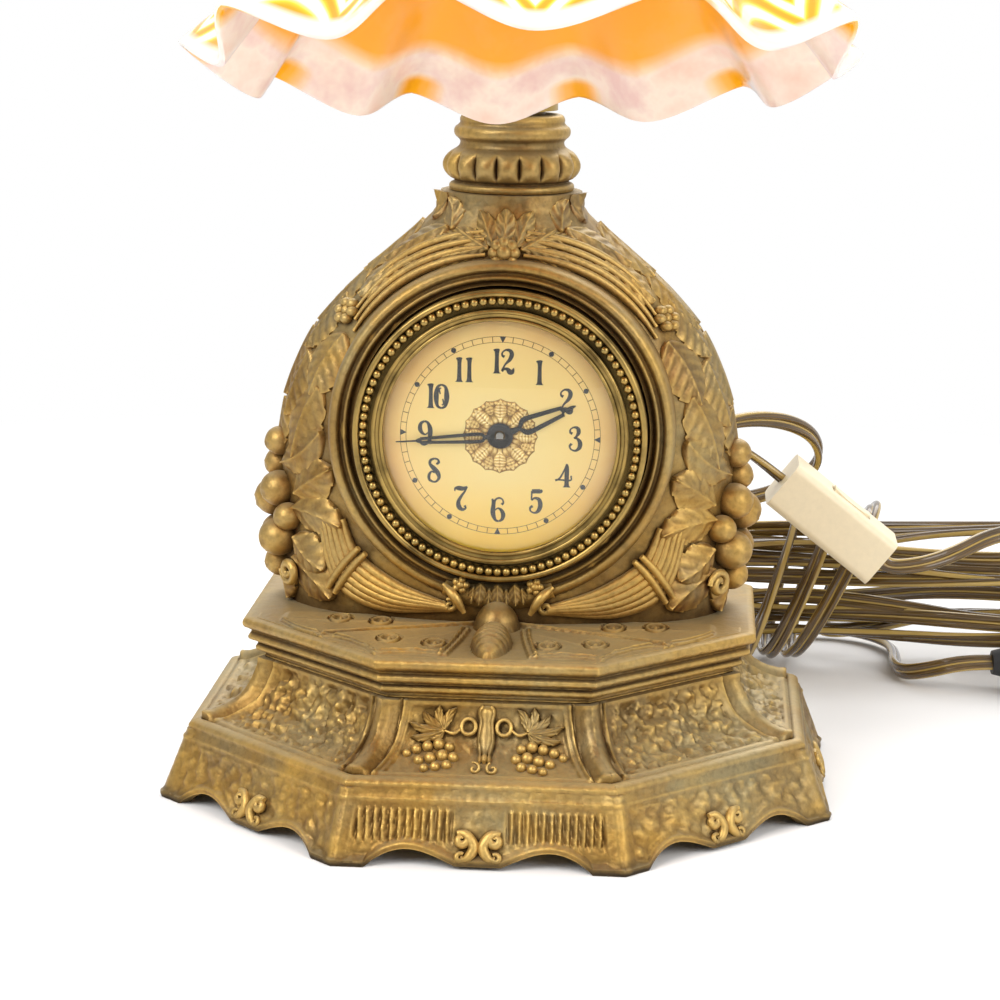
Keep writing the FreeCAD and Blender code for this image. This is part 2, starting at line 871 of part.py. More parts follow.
def nipple_and_nuts():
    collar_top = plinth_height + case_height + collar_height
    neck_under = plinth_height + case_height - cast_wall
    nipple = tube(nipple_radius, nipple_bore, neck_under - nipple_drop,
                  collar_top + washer_thickness + nipple_rise)
    save("threaded_nipple", nipple)
    hole = nipple_radius + running_clearance
    nut = hex_prism(locknut_across, neck_under - locknut_height, neck_under)
    save("nipple_locknut", nut.cut(cylinder(hole, neck_under - 2 * locknut_height, neck_under + overrun)))
    save("swivel_washer", tube(washer_radius, hole, collar_top, collar_top + washer_thickness))


def base_plate():
    top = plate_seat_height
    bottom = top - base_plate_thickness
    slope = (skirt_foot_flat - skirt_top_flat) / (skirt_height - cast_wall + overrun)
    flat = skirt_foot_flat - cast_wall - slope * (top + overrun) - base_plate_gap
    disc = octagon([(flat, bottom), (flat, top)])
    places = [polar(screw_boss_circle, (k + 0.5) * 360 / base_screw_count)
              for k in range(base_screw_count)]
    holes = [cylinder(small_screw_radius + running_clearance, bottom - overrun, top + overrun, p.x, p.y)
             for p in places]
    save("base_cover_plate", disc.cut(holes))
    screws = [
        cylinder(small_screw_radius, bottom, plate_seat_height + screw_bite, p.x, p.y)
        .fuse(cylinder(small_head_radius, bottom - small_head_height, bottom, p.x, p.y))
        for p in places
    ]
    under = plinth_height - cast_wall
    case_screws = [
        cylinder(small_screw_radius, under, plinth_height + case_lug_depth, side * case_lug_reach)
        .fuse(cylinder(small_head_radius, under - small_head_height, under, side * case_lug_reach))
        for side in (-1, 1)
    ]
    save("casting_screws", Part.makeCompound(screws + case_screws))


def arm():
    foot = plinth_height + case_height + collar_height + washer_thickness
    bore = nipple_radius + running_clearance
    seat = foot + nipple_rise + loose_clearance
    hub = turned([
        (0, foot), (hub_foot_radius, foot), (hub_foot_radius, foot + hub_height / 4),
        (hub_top_radius, foot + hub_height), (hub_top_radius, seat + hub_socket_depth + hub_height / 3),
        (0, seat + hub_socket_depth + hub_height / 3),
    ])
    hub = hub.cut([
        cylinder(bore, foot - overrun, seat),
        cylinder(arm_bore, foot, seat + hub_height),
        cylinder(arm_radius, seat + loose_clearance, seat + 2 * hub_height),
    ])
    save("swivel_hub", spun(hub, head_swing))
    solids = []
    for radius, low in ((arm_radius, seat + loose_clearance), (arm_bore, seat)):
        straight = cylinder(radius, low, arm_straight_top)
        disc = Part.Face(Part.Wire([Part.Circle(V(0, 0, arm_straight_top), UP, radius).toShape()]))
        bend = disc.revolve(V(0, -arm_bend_radius, arm_straight_top), RIGHT, arm_bend_angle)
        end = head_frame(cylinder(radius, -cap_neck_length, 0))
        solids.append(joined([spun(straight, head_swing), spun(bend, head_swing), end]))
    save("gooseneck_arm", solids[0].cut(solids[1]))


def lampholder():
    cap = turned([
        (arm_radius + running_clearance, -cap_neck_length),
        (cap_neck_radius, -cap_neck_length),
        (cap_neck_radius, 0),
        ("arc", (cap_radius - (cap_radius - cap_neck_radius) / 4, cap_length / 3),
         (cap_radius, cap_length - cap_rim)),
        (cap_radius, cap_length),
        (cap_radius - holder_wall, cap_length),
        (cap_radius - holder_wall, cap_length - cap_rim),
        ("arc", (cap_radius - holder_wall - (cap_radius - cap_neck_radius) / 4, cap_length / 3 + holder_wall),
         (cap_neck_radius - holder_wall, holder_wall)),
        (arm_bore, holder_wall),
        (arm_bore, 0),
        (arm_radius + running_clearance, 0),
    ])
    save("socket_cap", head_frame(cap))
    shell_end = cap_length + shell_length
    shell = tube(cap_radius - holder_wall, cap_radius - 2 * holder_wall, cap_length - cap_rim, shell_end)
    save("socket_shell", head_frame(shell))
    sleeve_radius = cap_radius - 2 * holder_wall - insulator_gap
    sleeve = tube(sleeve_radius, sleeve_radius - insulator_wall, cap_length, shell_end)
    save("socket_insulator", head_frame(sleeve))
    core = cylinder(sleeve_radius - insulator_wall - running_clearance, cap_length, cap_length + core_length)
    save("socket_core", head_frame(core))
    thread = tube(screw_shell_radius, screw_shell_radius - holder_wall / 2, cap_length + core_length,
                  cap_length + core_length + screw_shell_length)
    save("screw_shell", head_frame(thread))


def gallery():
    """The shade holder: a cup round the shell, with three thumbscrews through its skirt."""
    inner = cap_radius - holder_wall + running_clearance
    cup_inner = fitter_radius + fitter_gap
    cup_outer = cup_inner + gallery_wall
    start = gallery_start
    shoulder = start + gallery_shoulder
    end = shoulder + gallery_skirt
    cup = turned([
        (inner, start - gallery_shoulder / 2),
        (inner + gallery_wall, start - gallery_shoulder / 2),
        (inner + gallery_wall, start),
        ("arc", (cup_outer - (cup_outer - inner) / 5, start + gallery_shoulder / 4), (cup_outer, shoulder)),
        (cup_outer, end),
        (cup_inner, end),
        (cup_inner, shoulder),
        ("arc", (cup_inner - (cup_outer - inner) / 5, start + gallery_shoulder / 4 + gallery_wall),
         (inner + gallery_wall, start + gallery_wall)),
        (inner, start + gallery_wall),
    ])
    level = end - thumbscrew_inset
    shaft_end = fitter_neck_radius + loose_clearance
    screws, holes = [], []
    for k in range(thumbscrew_count):
        way = polar(1, 90 + k * 360 / thumbscrew_count)
        at = polar(shaft_end, 90 + k * 360 / thumbscrew_count, level)
        reach = cup_outer + thumbscrew_reach - shaft_end
        holes.append(Part.makeCylinder(thumbscrew_radius, reach, at, way))
        head_at = polar(cup_outer + thumbscrew_reach - thumbscrew_head_length,
                        90 + k * 360 / thumbscrew_count, level)
        head = Part.makeCylinder(thumbscrew_head_radius, thumbscrew_head_length, head_at, way)
        screws.append(Part.makeCylinder(thumbscrew_radius, reach, at, way).fuse(head))
    save("shade_holder", head_frame(cup.cut(holes)))
    save("shade_thumbscrews", head_frame(Part.makeCompound(screws)))


def ruffle(angle):
    """1 at the lowest point of each ruffle and -1 half way to the next."""
    angle %= 360
    lows = list(ruffle_azimuths) + [360 + ruffle_azimuths[0]]
    for low, high in zip(lows, lows[1:]):
        if low <= angle <= high:
            return math.cos(2 * math.pi * (angle - low) / (high - low))
    return 1.0


def profile_radius(share):
    """The bell's radius, as a share of the lip's, smoothly between the chosen shares."""
    places = share * (len(shade_profile_shares) - 1)
    k = min(int(places), len(shade_profile_shares) - 2)
    t = places - k
    shares = shade_profile_shares
    p0 = shares[max(k - 1, 0)]
    p3 = shares[min(k + 2, len(shares) - 1)]
    p1, p2 = shares[k], shares[k + 1]
    return 0.5 * (2 * p1 + (p2 - p0) * t + (2 * p0 - 5 * p1 + 4 * p2 - p3) * t ** 2
                  + (3 * p1 - p0 - 3 * p2 + p3) * t ** 3)


def shade_point(share, angle, start, inset):
    """A point on the outside of the bell, or inset from it by the glass's thickness."""
    fold = max(0.0, (share - ruffle_start_share) / (1 - ruffle_start_share)) ** ruffle_growth_power
    wave = ruffle(angle) * fold
    radius = shade_lip_radius * profile_radius(share) - ruffle_flare * wave
    depth = start + (shade_length - fitter_lip - fitter_neck) * share + ruffle_depth * wave
    below, above = max(share - shade_slope_share, 0), min(share + shade_slope_share, 1)
    slope = (profile_radius(above) - profile_radius(below)) / (above - below)
    rise = slope * shade_lip_radius / (shade_length - fitter_lip - fitter_neck)
    length = math.hypot(1, rise)
    radius -= inset / length
    depth += inset * rise / length
    turn = math.radians(angle)
    return V(radius * math.sin(turn), radius * math.cos(turn), depth)


def shade():
    lip_start = gallery_start + gallery_shoulder + fitter_gap
    start = lip_start + fitter_lip + fitter_neck
    angles = []
    lows = list(ruffle_azimuths) + [360 + ruffle_azimuths[0]]
    for low, high in zip(lows, lows[1:]):
        angles += [low + (high - low) * k / shade_columns_per_ruffle
                   for k in range(shade_columns_per_ruffle)]
    angles.append(360.0)
    shares = [k / shade_rows for k in range(shade_rows + 1)]

    def surface(inset):
        grid = [[shade_point(share, angle, start, inset) for angle in angles] for share in shares]
        spline = Part.BSplineSurface()
        spline.interpolate(grid)
        return spline

    outside, inside = surface(0), surface(glass_thickness)
    u0, u1, v0, v1 = outside.bounds()

    def ring(radius, depth):
        points = [V(radius * math.sin(math.radians(a)), radius * math.cos(math.radians(a)), depth)
                  for a in angles]
        curve = Part.BSplineCurve()
        curve.interpolate(points)
        return curve

    inner_neck = fitter_neck_radius - glass_thickness
    loops = [
        outside.uIso(u0),
        ring(fitter_neck_radius, lip_start + fitter_lip + fitter_neck / 2),
        ring(fitter_neck_radius, lip_start + fitter_lip),
        ring(fitter_radius, lip_start + fitter_lip),
        ring(fitter_radius, lip_start),
        ring(inner_neck, lip_start),
        ring(inner_neck, lip_start + fitter_lip + fitter_neck / 2),
        inside.uIso(u0),
    ]
    bands = [(outside.uIso(u1), inside.uIso(u1))] + list(zip(loops, loops[1:]))
    faces = [outside.toShape(), inside.toShape()]
    for one, other in bands:
        faces += Part.makeRuledSurface(one.toShape(), other.toShape()).Faces
    shell = Part.makeShell(faces)
    shell.sewShape()
    bell = Part.makeSolid(shell)
    if bell.Volume < 0:
        bell.reverse()
    save("glass_shade", head_frame(bell))


def bulb():
    seat = cap_length + core_length + overrun
    base_end = seat + bulb_base_length
    save("bulb_base", head_frame(cylinder(bulb_base_radius, seat, base_end)))
    neck_end = base_end + bulb_neck_length
    solids = []
    for inset in (0, bulb_wall):
        ball, neck = bulb_radius - inset, bulb_neck_radius - inset
        centre = neck_end + math.sqrt(ball ** 2 - neck ** 2)
        solids.append(joined([
            cylinder(neck, base_end - inset, centre),
            Part.makeSphere(ball, V(0, 0, centre)),
        ]))
    glass = solids[0].cut(solids[1])
    save("bulb_glass", head_frame(glass))


def gear(teeth, pitch_radius, bottom, top, phase, bore):
    """A toothed wheel; phase is the angle of one tooth's middle."""
    module = 2 * pitch_radius / teeth
    outer = pitch_radius + tooth_addendum_share * module
    root = pitch_radius - tooth_dedendum_share * module
    pitch_angle = 360 / teeth
    half_foot = tooth_foot_share * pitch_angle
    half_tip = tooth_tip_share * pitch_angle
    points = []
    for k in range(teeth):
        middle = phase + k * pitch_angle
        for radius, shift in ((root, -half_foot), (outer, -half_tip), (outer, half_tip), (root, half_foot)):
            at = polar(radius, middle + shift)
            points.append((at.x, at.y))
    return plate(points, bottom, top).cut(cylinder(bore, bottom - overrun, top + overrun))


def mating_phase(phase, teeth, mate_teeth, direction):
    """The tooth angle of a mate that lies in a direction from a wheel, so that the two are in mesh."""
    share = (direction - phase) / (360 / teeth)
    return direction + 180 - (0.5 - share) * 360 / mate_teeth


def spoked(wheel, hub_radius, rim_radius, bottom, top, count=4):
    """Cut windows in a wheel so that it has spokes."""
    windows = tube(rim_radius, hub_radius, bottom - overrun, top + overrun)
    bars = [
        spun(Part.makeBox(rim_radius, hub_radius, top - bottom + 2 * overrun,
                          V(0, -hub_radius / 2, bottom - overrun)), k * 360 / count)
        for k in range(count)
    ]
    return wheel.cut(windows.cut(bars))


def pitch_radii(distance, teeth, mate_teeth):
    return (distance * teeth / (teeth + mate_teeth), distance * mate_teeth / (teeth + mate_teeth))


def arbor_places():
    """The places of the arbors in the movement's frame."""
    centre = V(0, 0, 0)
    third = centre + polar(third_distance, third_direction)
    fourth = third + polar(fourth_distance, fourth_direction)
    escape = fourth + polar(escape_distance, escape_direction)
    lever = escape + polar(lever_distance, lever_direction)
    balance = lever + polar(balance_distance, balance_direction)
    barrel = centre + polar(barrel_distance, barrel_direction)
    minute = centre + polar(motion_distance, motion_direction)
    click = barrel + polar(click_distance, click_direction)
    return {"centre": centre, "third": third, "fourth": fourth, "escape": escape,
            "lever": lever, "balance": balance, "barrel": barrel, "minute": minute, "click": click}


def going_train(places):
    plate_in_back = back_plate_back + plate_thickness
    plate_in_front = front_plate_front - plate_thickness
    ends = (back_plate_back, front_plate_front)
    shake = loose_clearance

    # Centre wheel and pinion on a tube that turns round the hands' arbor
    barrel_r, centre_pinion_r = pitch_radii(barrel_distance, barrel_teeth, centre_pinion_teeth)
    centre_r, third_pinion_r = pitch_radii(third_distance, centre_teeth, third_pinion_teeth)
    third_r, fourth_pinion_r = pitch_radii(fourth_distance, third_teeth, fourth_pinion_teeth)
    fourth_r, escape_pinion_r = pitch_radii(escape_distance, fourth_teeth, escape_pinion_teeth)
    bore = centre_arbor_radius + running_clearance

    centre_phase = 0.0
    pinion_phase = 0.0
    wheel = gear(centre_teeth, centre_r, centre_wheel_back, centre_wheel_back + wheel_thickness,
                 centre_phase, bore)
    wheel = spoked(wheel, 2 * centre_tube_radius, centre_r * wheel_rim_share, centre_wheel_back,
                   centre_wheel_back + wheel_thickness)
    pinion = gear(centre_pinion_teeth, centre_pinion_r, barrel_teeth_back - pinion_extra,
                  barrel_teeth_back + wheel_thickness + pinion_extra, pinion_phase, bore)
    sleeve = tube(centre_tube_radius, bore, plate_in_back + shake, plate_in_front - shake)
    pinion_top = barrel_teeth_back + wheel_thickness + pinion_extra
    save("centre_wheel", clock_frame(joined([sleeve, wheel, pinion])))

    # Barrel with its teeth, spring and arbor
    at = places["barrel"]
    phase = mating_phase(pinion_phase, centre_pinion_teeth, barrel_teeth, barrel_direction)
    drum = tube(barrel_drum_radius, barrel_drum_radius - barrel_wall, barrel_drum_back,
                barrel_teeth_back)
    floor_hole = winding_arbor_radius + running_clearance
    floor = tube(barrel_drum_radius, floor_hole, barrel_drum_back - barrel_wall, barrel_drum_back)
    teeth = gear(barrel_teeth, barrel_r, barrel_teeth_back, barrel_teeth_back + wheel_thickness,
                 phase, floor_hole)
    save("spring_barrel", clock_frame(moved(joined([drum, floor, teeth]), at.x, at.y)))
    save("mainspring", clock_frame(moved(spiral(
        winding_arbor_radius + loose_clearance, barrel_drum_radius - barrel_wall - loose_clearance,
        mainspring_turns, mainspring_wall, barrel_drum_back + loose_clearance,
        barrel_teeth_back - loose_clearance), at.x, at.y)))

    # Third, fourth and escape wheels
    third_phase = mating_phase(centre_phase, centre_teeth, third_pinion_teeth, third_direction)
    save("third_wheel", clock_frame(train_wheel(
        places["third"], third_teeth, third_r, third_wheel_back, 0.0,
        third_pinion_teeth, third_pinion_r, centre_wheel_back, third_phase, ends)))
    fourth_phase = mating_phase(0.0, third_teeth, fourth_pinion_teeth, fourth_direction)
    save("fourth_wheel", clock_frame(train_wheel(
        places["fourth"], fourth_teeth, fourth_r, fourth_wheel_back, 0.0,
        fourth_pinion_teeth, fourth_pinion_r, third_wheel_back, fourth_phase, ends)))
    escape_phase = mating_phase(0.0, fourth_teeth, escape_pinion_teeth, escape_direction)
    at = places["escape"]
    star = []
    for k in range(escape_tooth_count):
        step = 360 / escape_tooth_count
        radii = (escape_root_radius, escape_radius, escape_radius, escape_root_radius)
        for radius, share in zip(radii, escape_tooth_shares):
            p = polar(radius, (k + share) * step)
            star.append((p.x, p.y))
    disc = plate(star, escape_wheel_back, escape_wheel_back + wheel_thickness)
    pinion = gear(escape_pinion_teeth, escape_pinion_r, fourth_wheel_back - pinion_extra,
                  fourth_wheel_back + wheel_thickness + pinion_extra, escape_phase, arbor_radius / 2)
    staff = cylinder(arbor_radius, ends[0], ends[1])
    save("escape_wheel", clock_frame(moved(joined([staff, disc, pinion]), at.x, at.y)))


def train_wheel(place, teeth, radius, wheel_back, wheel_phase, pinion_teeth, pinion_radius,
                mate_back, pinion_phase, ends):
    wheel = gear(teeth, radius, wheel_back, wheel_back + wheel_thickness, wheel_phase, arbor_radius / 2)
    wheel = spoked(wheel, 2 * arbor_radius, radius * wheel_rim_share, wheel_back,
                   wheel_back + wheel_thickness)
    pinion = gear(pinion_teeth, pinion_radius, mate_back - pinion_extra,
                  mate_back + wheel_thickness + pinion_extra, pinion_phase, arbor_radius / 2)
    staff = cylinder(arbor_radius, ends[0], ends[1])
    return moved(joined([staff, wheel, pinion]), place.x, place.y)


def spiral(inner, outer, turns, wall, bottom, top):
    """A flat spiral strip, made of half-turn arcs whose radius grows at each half turn."""
    growth = (outer - inner - wall) / turns
    inner_edges, outer_edges = [], []
    x = 0.0
    radius = inner + wall / 2
    for k in range(2 * turns):
        side = 1 if k % 2 == 0 else -1
        centre = V(x, 0, 0)
        for offset, edges in ((-wall / 2, inner_edges), (wall / 2, outer_edges)):
            r = radius + offset
            start = centre + V(side * r, 0, 0)
            middle = centre + V(0, side * r, 0)
            end = centre + V(-side * r, 0, 0)
            edges.append(Part.Arc(start, middle, end).toShape())
        x += side * growth / 2
        radius += growth / 2
    first = Part.LineSegment(inner_edges[0].firstVertex().Point, outer_edges[0].firstVertex().Point).toShape()
    a = inner_edges[-1].valueAt(inner_edges[-1].LastParameter)
    b = outer_edges[-1].valueAt(outer_edges[-1].LastParameter)
    last = Part.LineSegment(a, b).toShape()
    wire = Part.Wire(Part.__sortEdges__([first, last] + inner_edges + outer_edges))
    return moved(Part.Face(wire).extrude(V(0, 0, top - bottom)), z=bottom)


def escapement(places):
    at, escape, balance = places["lever"], places["escape"], places["balance"]
    ends = (back_plate_back, front_plate_front)
    back = escape_wheel_back - lever_thickness
    to_escape = math.degrees(math.atan2(escape.y - at.y, escape.x - at.x))
    to_balance = math.degrees(math.atan2(balance.y - at.y, balance.x - at.x))
    pin_circle = escape_radius + lever_pin_radius + lever_pin_clearance
    arm_half = lever_pin_radius * 2
    pieces = [cylinder(arbor_radius * lever_staff_share, ends[0], ends[1])]
    reach = lever_distance - pin_circle * lever_pin_along_share
    for side in (-1, 1):
        tip = polar(reach, to_escape) + polar(pin_circle * lever_pin_aside_share, to_escape + 90 * side)
        along = math.degrees(math.atan2(tip.y, tip.x))
        length = math.hypot(tip.x, tip.y)
        bar = spun(Part.makeBox(length, 2 * arm_half, lever_thickness,
                                V(0, -arm_half, back - lever_thickness)), along)
        pieces.append(bar)
        pieces.append(cylinder(lever_pin_radius, back - lever_thickness,
                               escape_wheel_back + 2 * wheel_thickness, tip.x, tip.y))
    fork = Part.makeBox(lever_arm_length, arm_half, lever_thickness,
                        V(0, -arm_half / 2, back - lever_thickness))
    pieces.append(spun(fork, to_balance))
    save("pallet_lever", clock_frame(moved(joined(pieces), at.x, at.y)))

    rim = tube(balance_radius, balance_radius - balance_rim, balance_back,
               balance_back + balance_thickness)
    spoke = Part.makeBox(2 * balance_radius - balance_rim, balance_rim, balance_thickness,
                         V(-balance_radius + balance_rim / 2, -balance_rim / 2, balance_back))
    staff = cylinder(arbor_radius, ends[0], ends[1])
    save("balance_wheel", clock_frame(moved(joined([rim, spoke, staff]), balance.x, balance.y)))
    coil = spiral(arbor_radius + loose_clearance, hairspring_radius, hairspring_turns, hairspring_wall,
                  hairspring_back, hairspring_back + hairspring_height)
    save("hairspring", clock_frame(moved(coil, balance.x, balance.y)))


def plates(places):
    plate_in_back = back_plate_back + plate_thickness
    plate_in_front = front_plate_front - plate_thickness
    clearance = running_clearance
    train = [places[name] for name in ("third", "fourth", "escape", "lever", "balance")]
    holes = [cylinder(arbor_radius + clearance, back_plate_back - overrun, front_plate_front + overrun,
                      p.x, p.y) for p in train]
    wide = [
        cylinder(centre_arbor_radius + clearance, back_plate_back - overrun, front_plate_front + overrun),
        cylinder(winding_arbor_radius + clearance, back_plate_back - overrun,
                 front_plate_front + overrun, places["barrel"].x, places["barrel"].y),
    ]
    front = cylinder(plate_radius, plate_in_front, front_plate_front).cut(holes + wide)
    post = places["minute"]
    stud = cylinder(arbor_radius, front_plate_front, motion_top(), post.x, post.y)
    save("front_plate", clock_frame(front.fuse(stud)))
    back = cylinder(plate_radius, back_plate_back, plate_in_back).cut(holes + wide)
    stud = cylinder(arbor_radius, back_plate_back - 2 * ratchet_thickness, back_plate_back,
                    places["click"].x, places["click"].y)
    save("back_plate", clock_frame(back.fuse(stud)))
    pillars = []
    for angle in pillar_angles:
        p = polar(pillar_circle, angle)
        pillars.append(cylinder(pillar_radius, plate_in_back, plate_in_front, p.x, p.y))
    save("plate_pillars", clock_frame(Part.makeCompound(pillars)))
    can = tube(can_radius, can_radius - can_wall, can_back, dial_front - dial_thickness)
    floor = tube(can_radius, clamp_ring_inner - can_wall, can_back, can_back + can_wall)
    save("movement_can", clock_frame(joined([can, floor])))
    ring = tube(clamp_ring_outer, clamp_ring_inner, case_tube_back - clamp_ring_thickness, case_tube_back)
    screws = []
    for p in clamp_screw_places():
        ring = ring.cut(cylinder(small_screw_radius / 2 + clearance, case_tube_back - 2 * overrun,
                                 case_tube_back + overrun, p.x, p.y))
        back_face = case_tube_back - clamp_ring_thickness
        screws.append(
            cylinder(small_screw_radius / 2, back_face, case_tube_back + screw_bite / 2, p.x, p.y)
            .fuse(cylinder(small_head_radius / 2, back_face - small_head_height / 2, back_face, p.x, p.y))
        )
    save("movement_clamp_ring", clock_frame(ring))
    cover_back = -rear_seat_back + rear_rebate - rear_cover_thickness
    for p in rear_screw_places():
        screws.append(
            cylinder(small_screw_radius / 2, cover_back, -rear_seat_back + screw_bite, p.x, p.y)
            .fuse(cylinder(small_head_radius / 2, cover_back - small_head_height / 2, cover_back, p.x, p.y))
        )
    save("movement_screws", clock_frame(Part.makeCompound(screws)))


def motion_back():
    return front_plate_front + motion_gap


def motion_top():
    return motion_back() + 2 * wheel_thickness + 2 * motion_gap


def motion_work(places):
    """Cannon pinion, minute wheel and hour wheel under the dial, and the two hands."""
    bore = centre_arbor_radius
    cannon_r, minute_r = pitch_radii(motion_distance, cannon_teeth, minute_wheel_teeth)
    minute_pinion_r, hour_r = pitch_radii(motion_distance, minute_pinion_teeth, hour_wheel_teeth)
    low = motion_back()
    mid = low + wheel_thickness
    high = mid + motion_gap
    hour_front = dial_front + rosette_thickness + hand_gap
    minute_front = hour_front + hand_thickness + hand_gap
    pinion_front = mid + running_clearance
    cannon = joined([
        gear(cannon_teeth, cannon_r, low, pinion_front, 0.0, bore),
        tube(cannon_tube_radius, bore, pinion_front, minute_front),
    ])
    knob_back = -rear_seat_back - rear_stand_off - knob_length
    arbor_shape = cylinder(centre_arbor_radius, knob_back, minute_front + hand_thickness + hand_gap)
    save("centre_arbor", clock_frame(arbor_shape))
    save("cannon_pinion", clock_frame(cannon))
    minute_phase = mating_phase(0.0, cannon_teeth, minute_wheel_teeth, motion_direction)
    hole = arbor_radius + running_clearance
    at = places["minute"]
    wheel = gear(minute_wheel_teeth, minute_r, low, mid, minute_phase, hole)
    pinion = gear(minute_pinion_teeth, minute_pinion_r, mid - wheel_thickness / 2,
                  high + wheel_thickness, 0.0, hole)
    save("minute_wheel", clock_frame(moved(joined([wheel, pinion]), at.x, at.y)))
    hour_phase = mating_phase(0.0, minute_pinion_teeth, hour_wheel_teeth, motion_direction + 180)
    wheel = gear(hour_wheel_teeth, hour_r, high, high + wheel_thickness, hour_phase, hour_pipe_bore)
    pipe = tube(hour_pipe_radius, hour_pipe_bore, high, hour_front + hand_thickness)
    save("hour_wheel", clock_frame(joined([wheel, pipe])))
    save("hour_hand", clock_frame(hand(
        hour_hand_length, hour_hand_width, hour_collet_radius, hour_pipe_radius, hour_hand_angle,
        hour_front)))
    save("minute_hand", clock_frame(hand(
        minute_hand_length, minute_hand_width, minute_collet_radius, centre_arbor_radius,
        minute_hand_angle, minute_front)))
    knob = cylinder(knob_radius, knob_back, knob_back + knob_length).cut(
        [cylinder(centre_arbor_radius, knob_back - overrun, knob_back + knob_length + overrun)]
        + [cylinder(knob_flute_radius, knob_back - overrun, knob_back + knob_length + overrun,
                    *polar(knob_radius, k * 360 / knob_flutes)[:2]) for k in range(knob_flutes)]
    )
    save("setting_knob", clock_frame(knob))


def hand(length, width, collet, hole, angle, bottom):
    """A skeleton hand: a tapered outline with a slot, and a round collet."""
    belly = hand_belly_share * length
    outline = [
        (0, -hand_tip_width), (belly, -width / 2), (belly + width, -hand_tip_width / 2), (length, 0),
        (belly + width, hand_tip_width / 2), (belly, width / 2), (0, hand_tip_width),
    ]
    slot_half = hand_slot_share * width / 2
    slot = [(belly - 3 * slot_half, 0), (belly, -slot_half), (belly + 2 * slot_half, 0), (belly, slot_half)]
    top = bottom + hand_thickness
    blade = plate(outline, bottom, top).cut(plate(slot, bottom - overrun, top + overrun))
    disc = cylinder(collet, bottom, top)
    body = joined([blade, disc]).cut(cylinder(hole, bottom - overrun, top + overrun))
    return spun(body, 90 + angle)


def dome(radius, base, rise):
    """A point half way out on a dome that rises over a base of a radius."""
    ball = (radius ** 2 + rise ** 2) / (2 * rise)
    return radius / 2, base + rise - ball + math.sqrt(ball ** 2 - radius ** 2 / 4)


def dial_and_cover():
    front = bezel_front
    edge = front - bezel_edge_height - bezel_groove_drop
    lip_back = front - bezel_lip
    bezel = turned([
        (bezel_rebate_radius, edge),
        (bezel_radius, edge),
        (bezel_radius, front - bezel_edge_height),
        (bezel_trough_radius, front - bezel_trough_drop / 2),
        (bezel_trough_radius, front - bezel_trough_drop),
        (bezel_trough_inner, front - bezel_trough_drop),
        (bezel_trough_inner, front - bezel_groove_drop),
        (bezel_groove_inner, front - bezel_groove_drop),
        (bezel_groove_inner, front),
        (bezel_window, front - bezel_lip / 2),
        (bezel_window, lip_back),
        (bezel_rebate_radius, lip_back),
    ])
    save("bezel", clock_frame(bezel))
    crystal_edge = bezel_rebate_radius - loose_clearance / 2
    base = lip_back - crystal_thickness
    window = bezel_window - loose_clearance
    crystal = turned([
        (0, base + crystal_rise - crystal_thickness),
        ("arc", dome(window, base, crystal_rise - crystal_thickness), (window, base)),
        (crystal_edge, base),
        (crystal_edge, lip_back),
        (window, lip_back),
        ("arc", dome(window, lip_back, crystal_rise), (0, lip_back + crystal_rise)),
    ])
    save("crystal", clock_frame(crystal))
    save("dial", clock_frame(tube(dial_radius, dial_hole, dial_front - dial_thickness, dial_front)))
    points = []
    for k in range(rosette_lobes * 4):
        wave = rosette_lobe_depth * math.cos(k * math.pi / 2)
        at = polar(rosette_radius - rosette_lobe_depth + wave, k * 90 / rosette_lobes)
        points.append((at.x, at.y))
    rosette = plate(points, dial_front, dial_front + rosette_thickness)
    save("dial_rosette", clock_frame(rosette.cut(cylinder(rosette_hole, dial_front - overrun,
                                                          dial_front + overrun))))


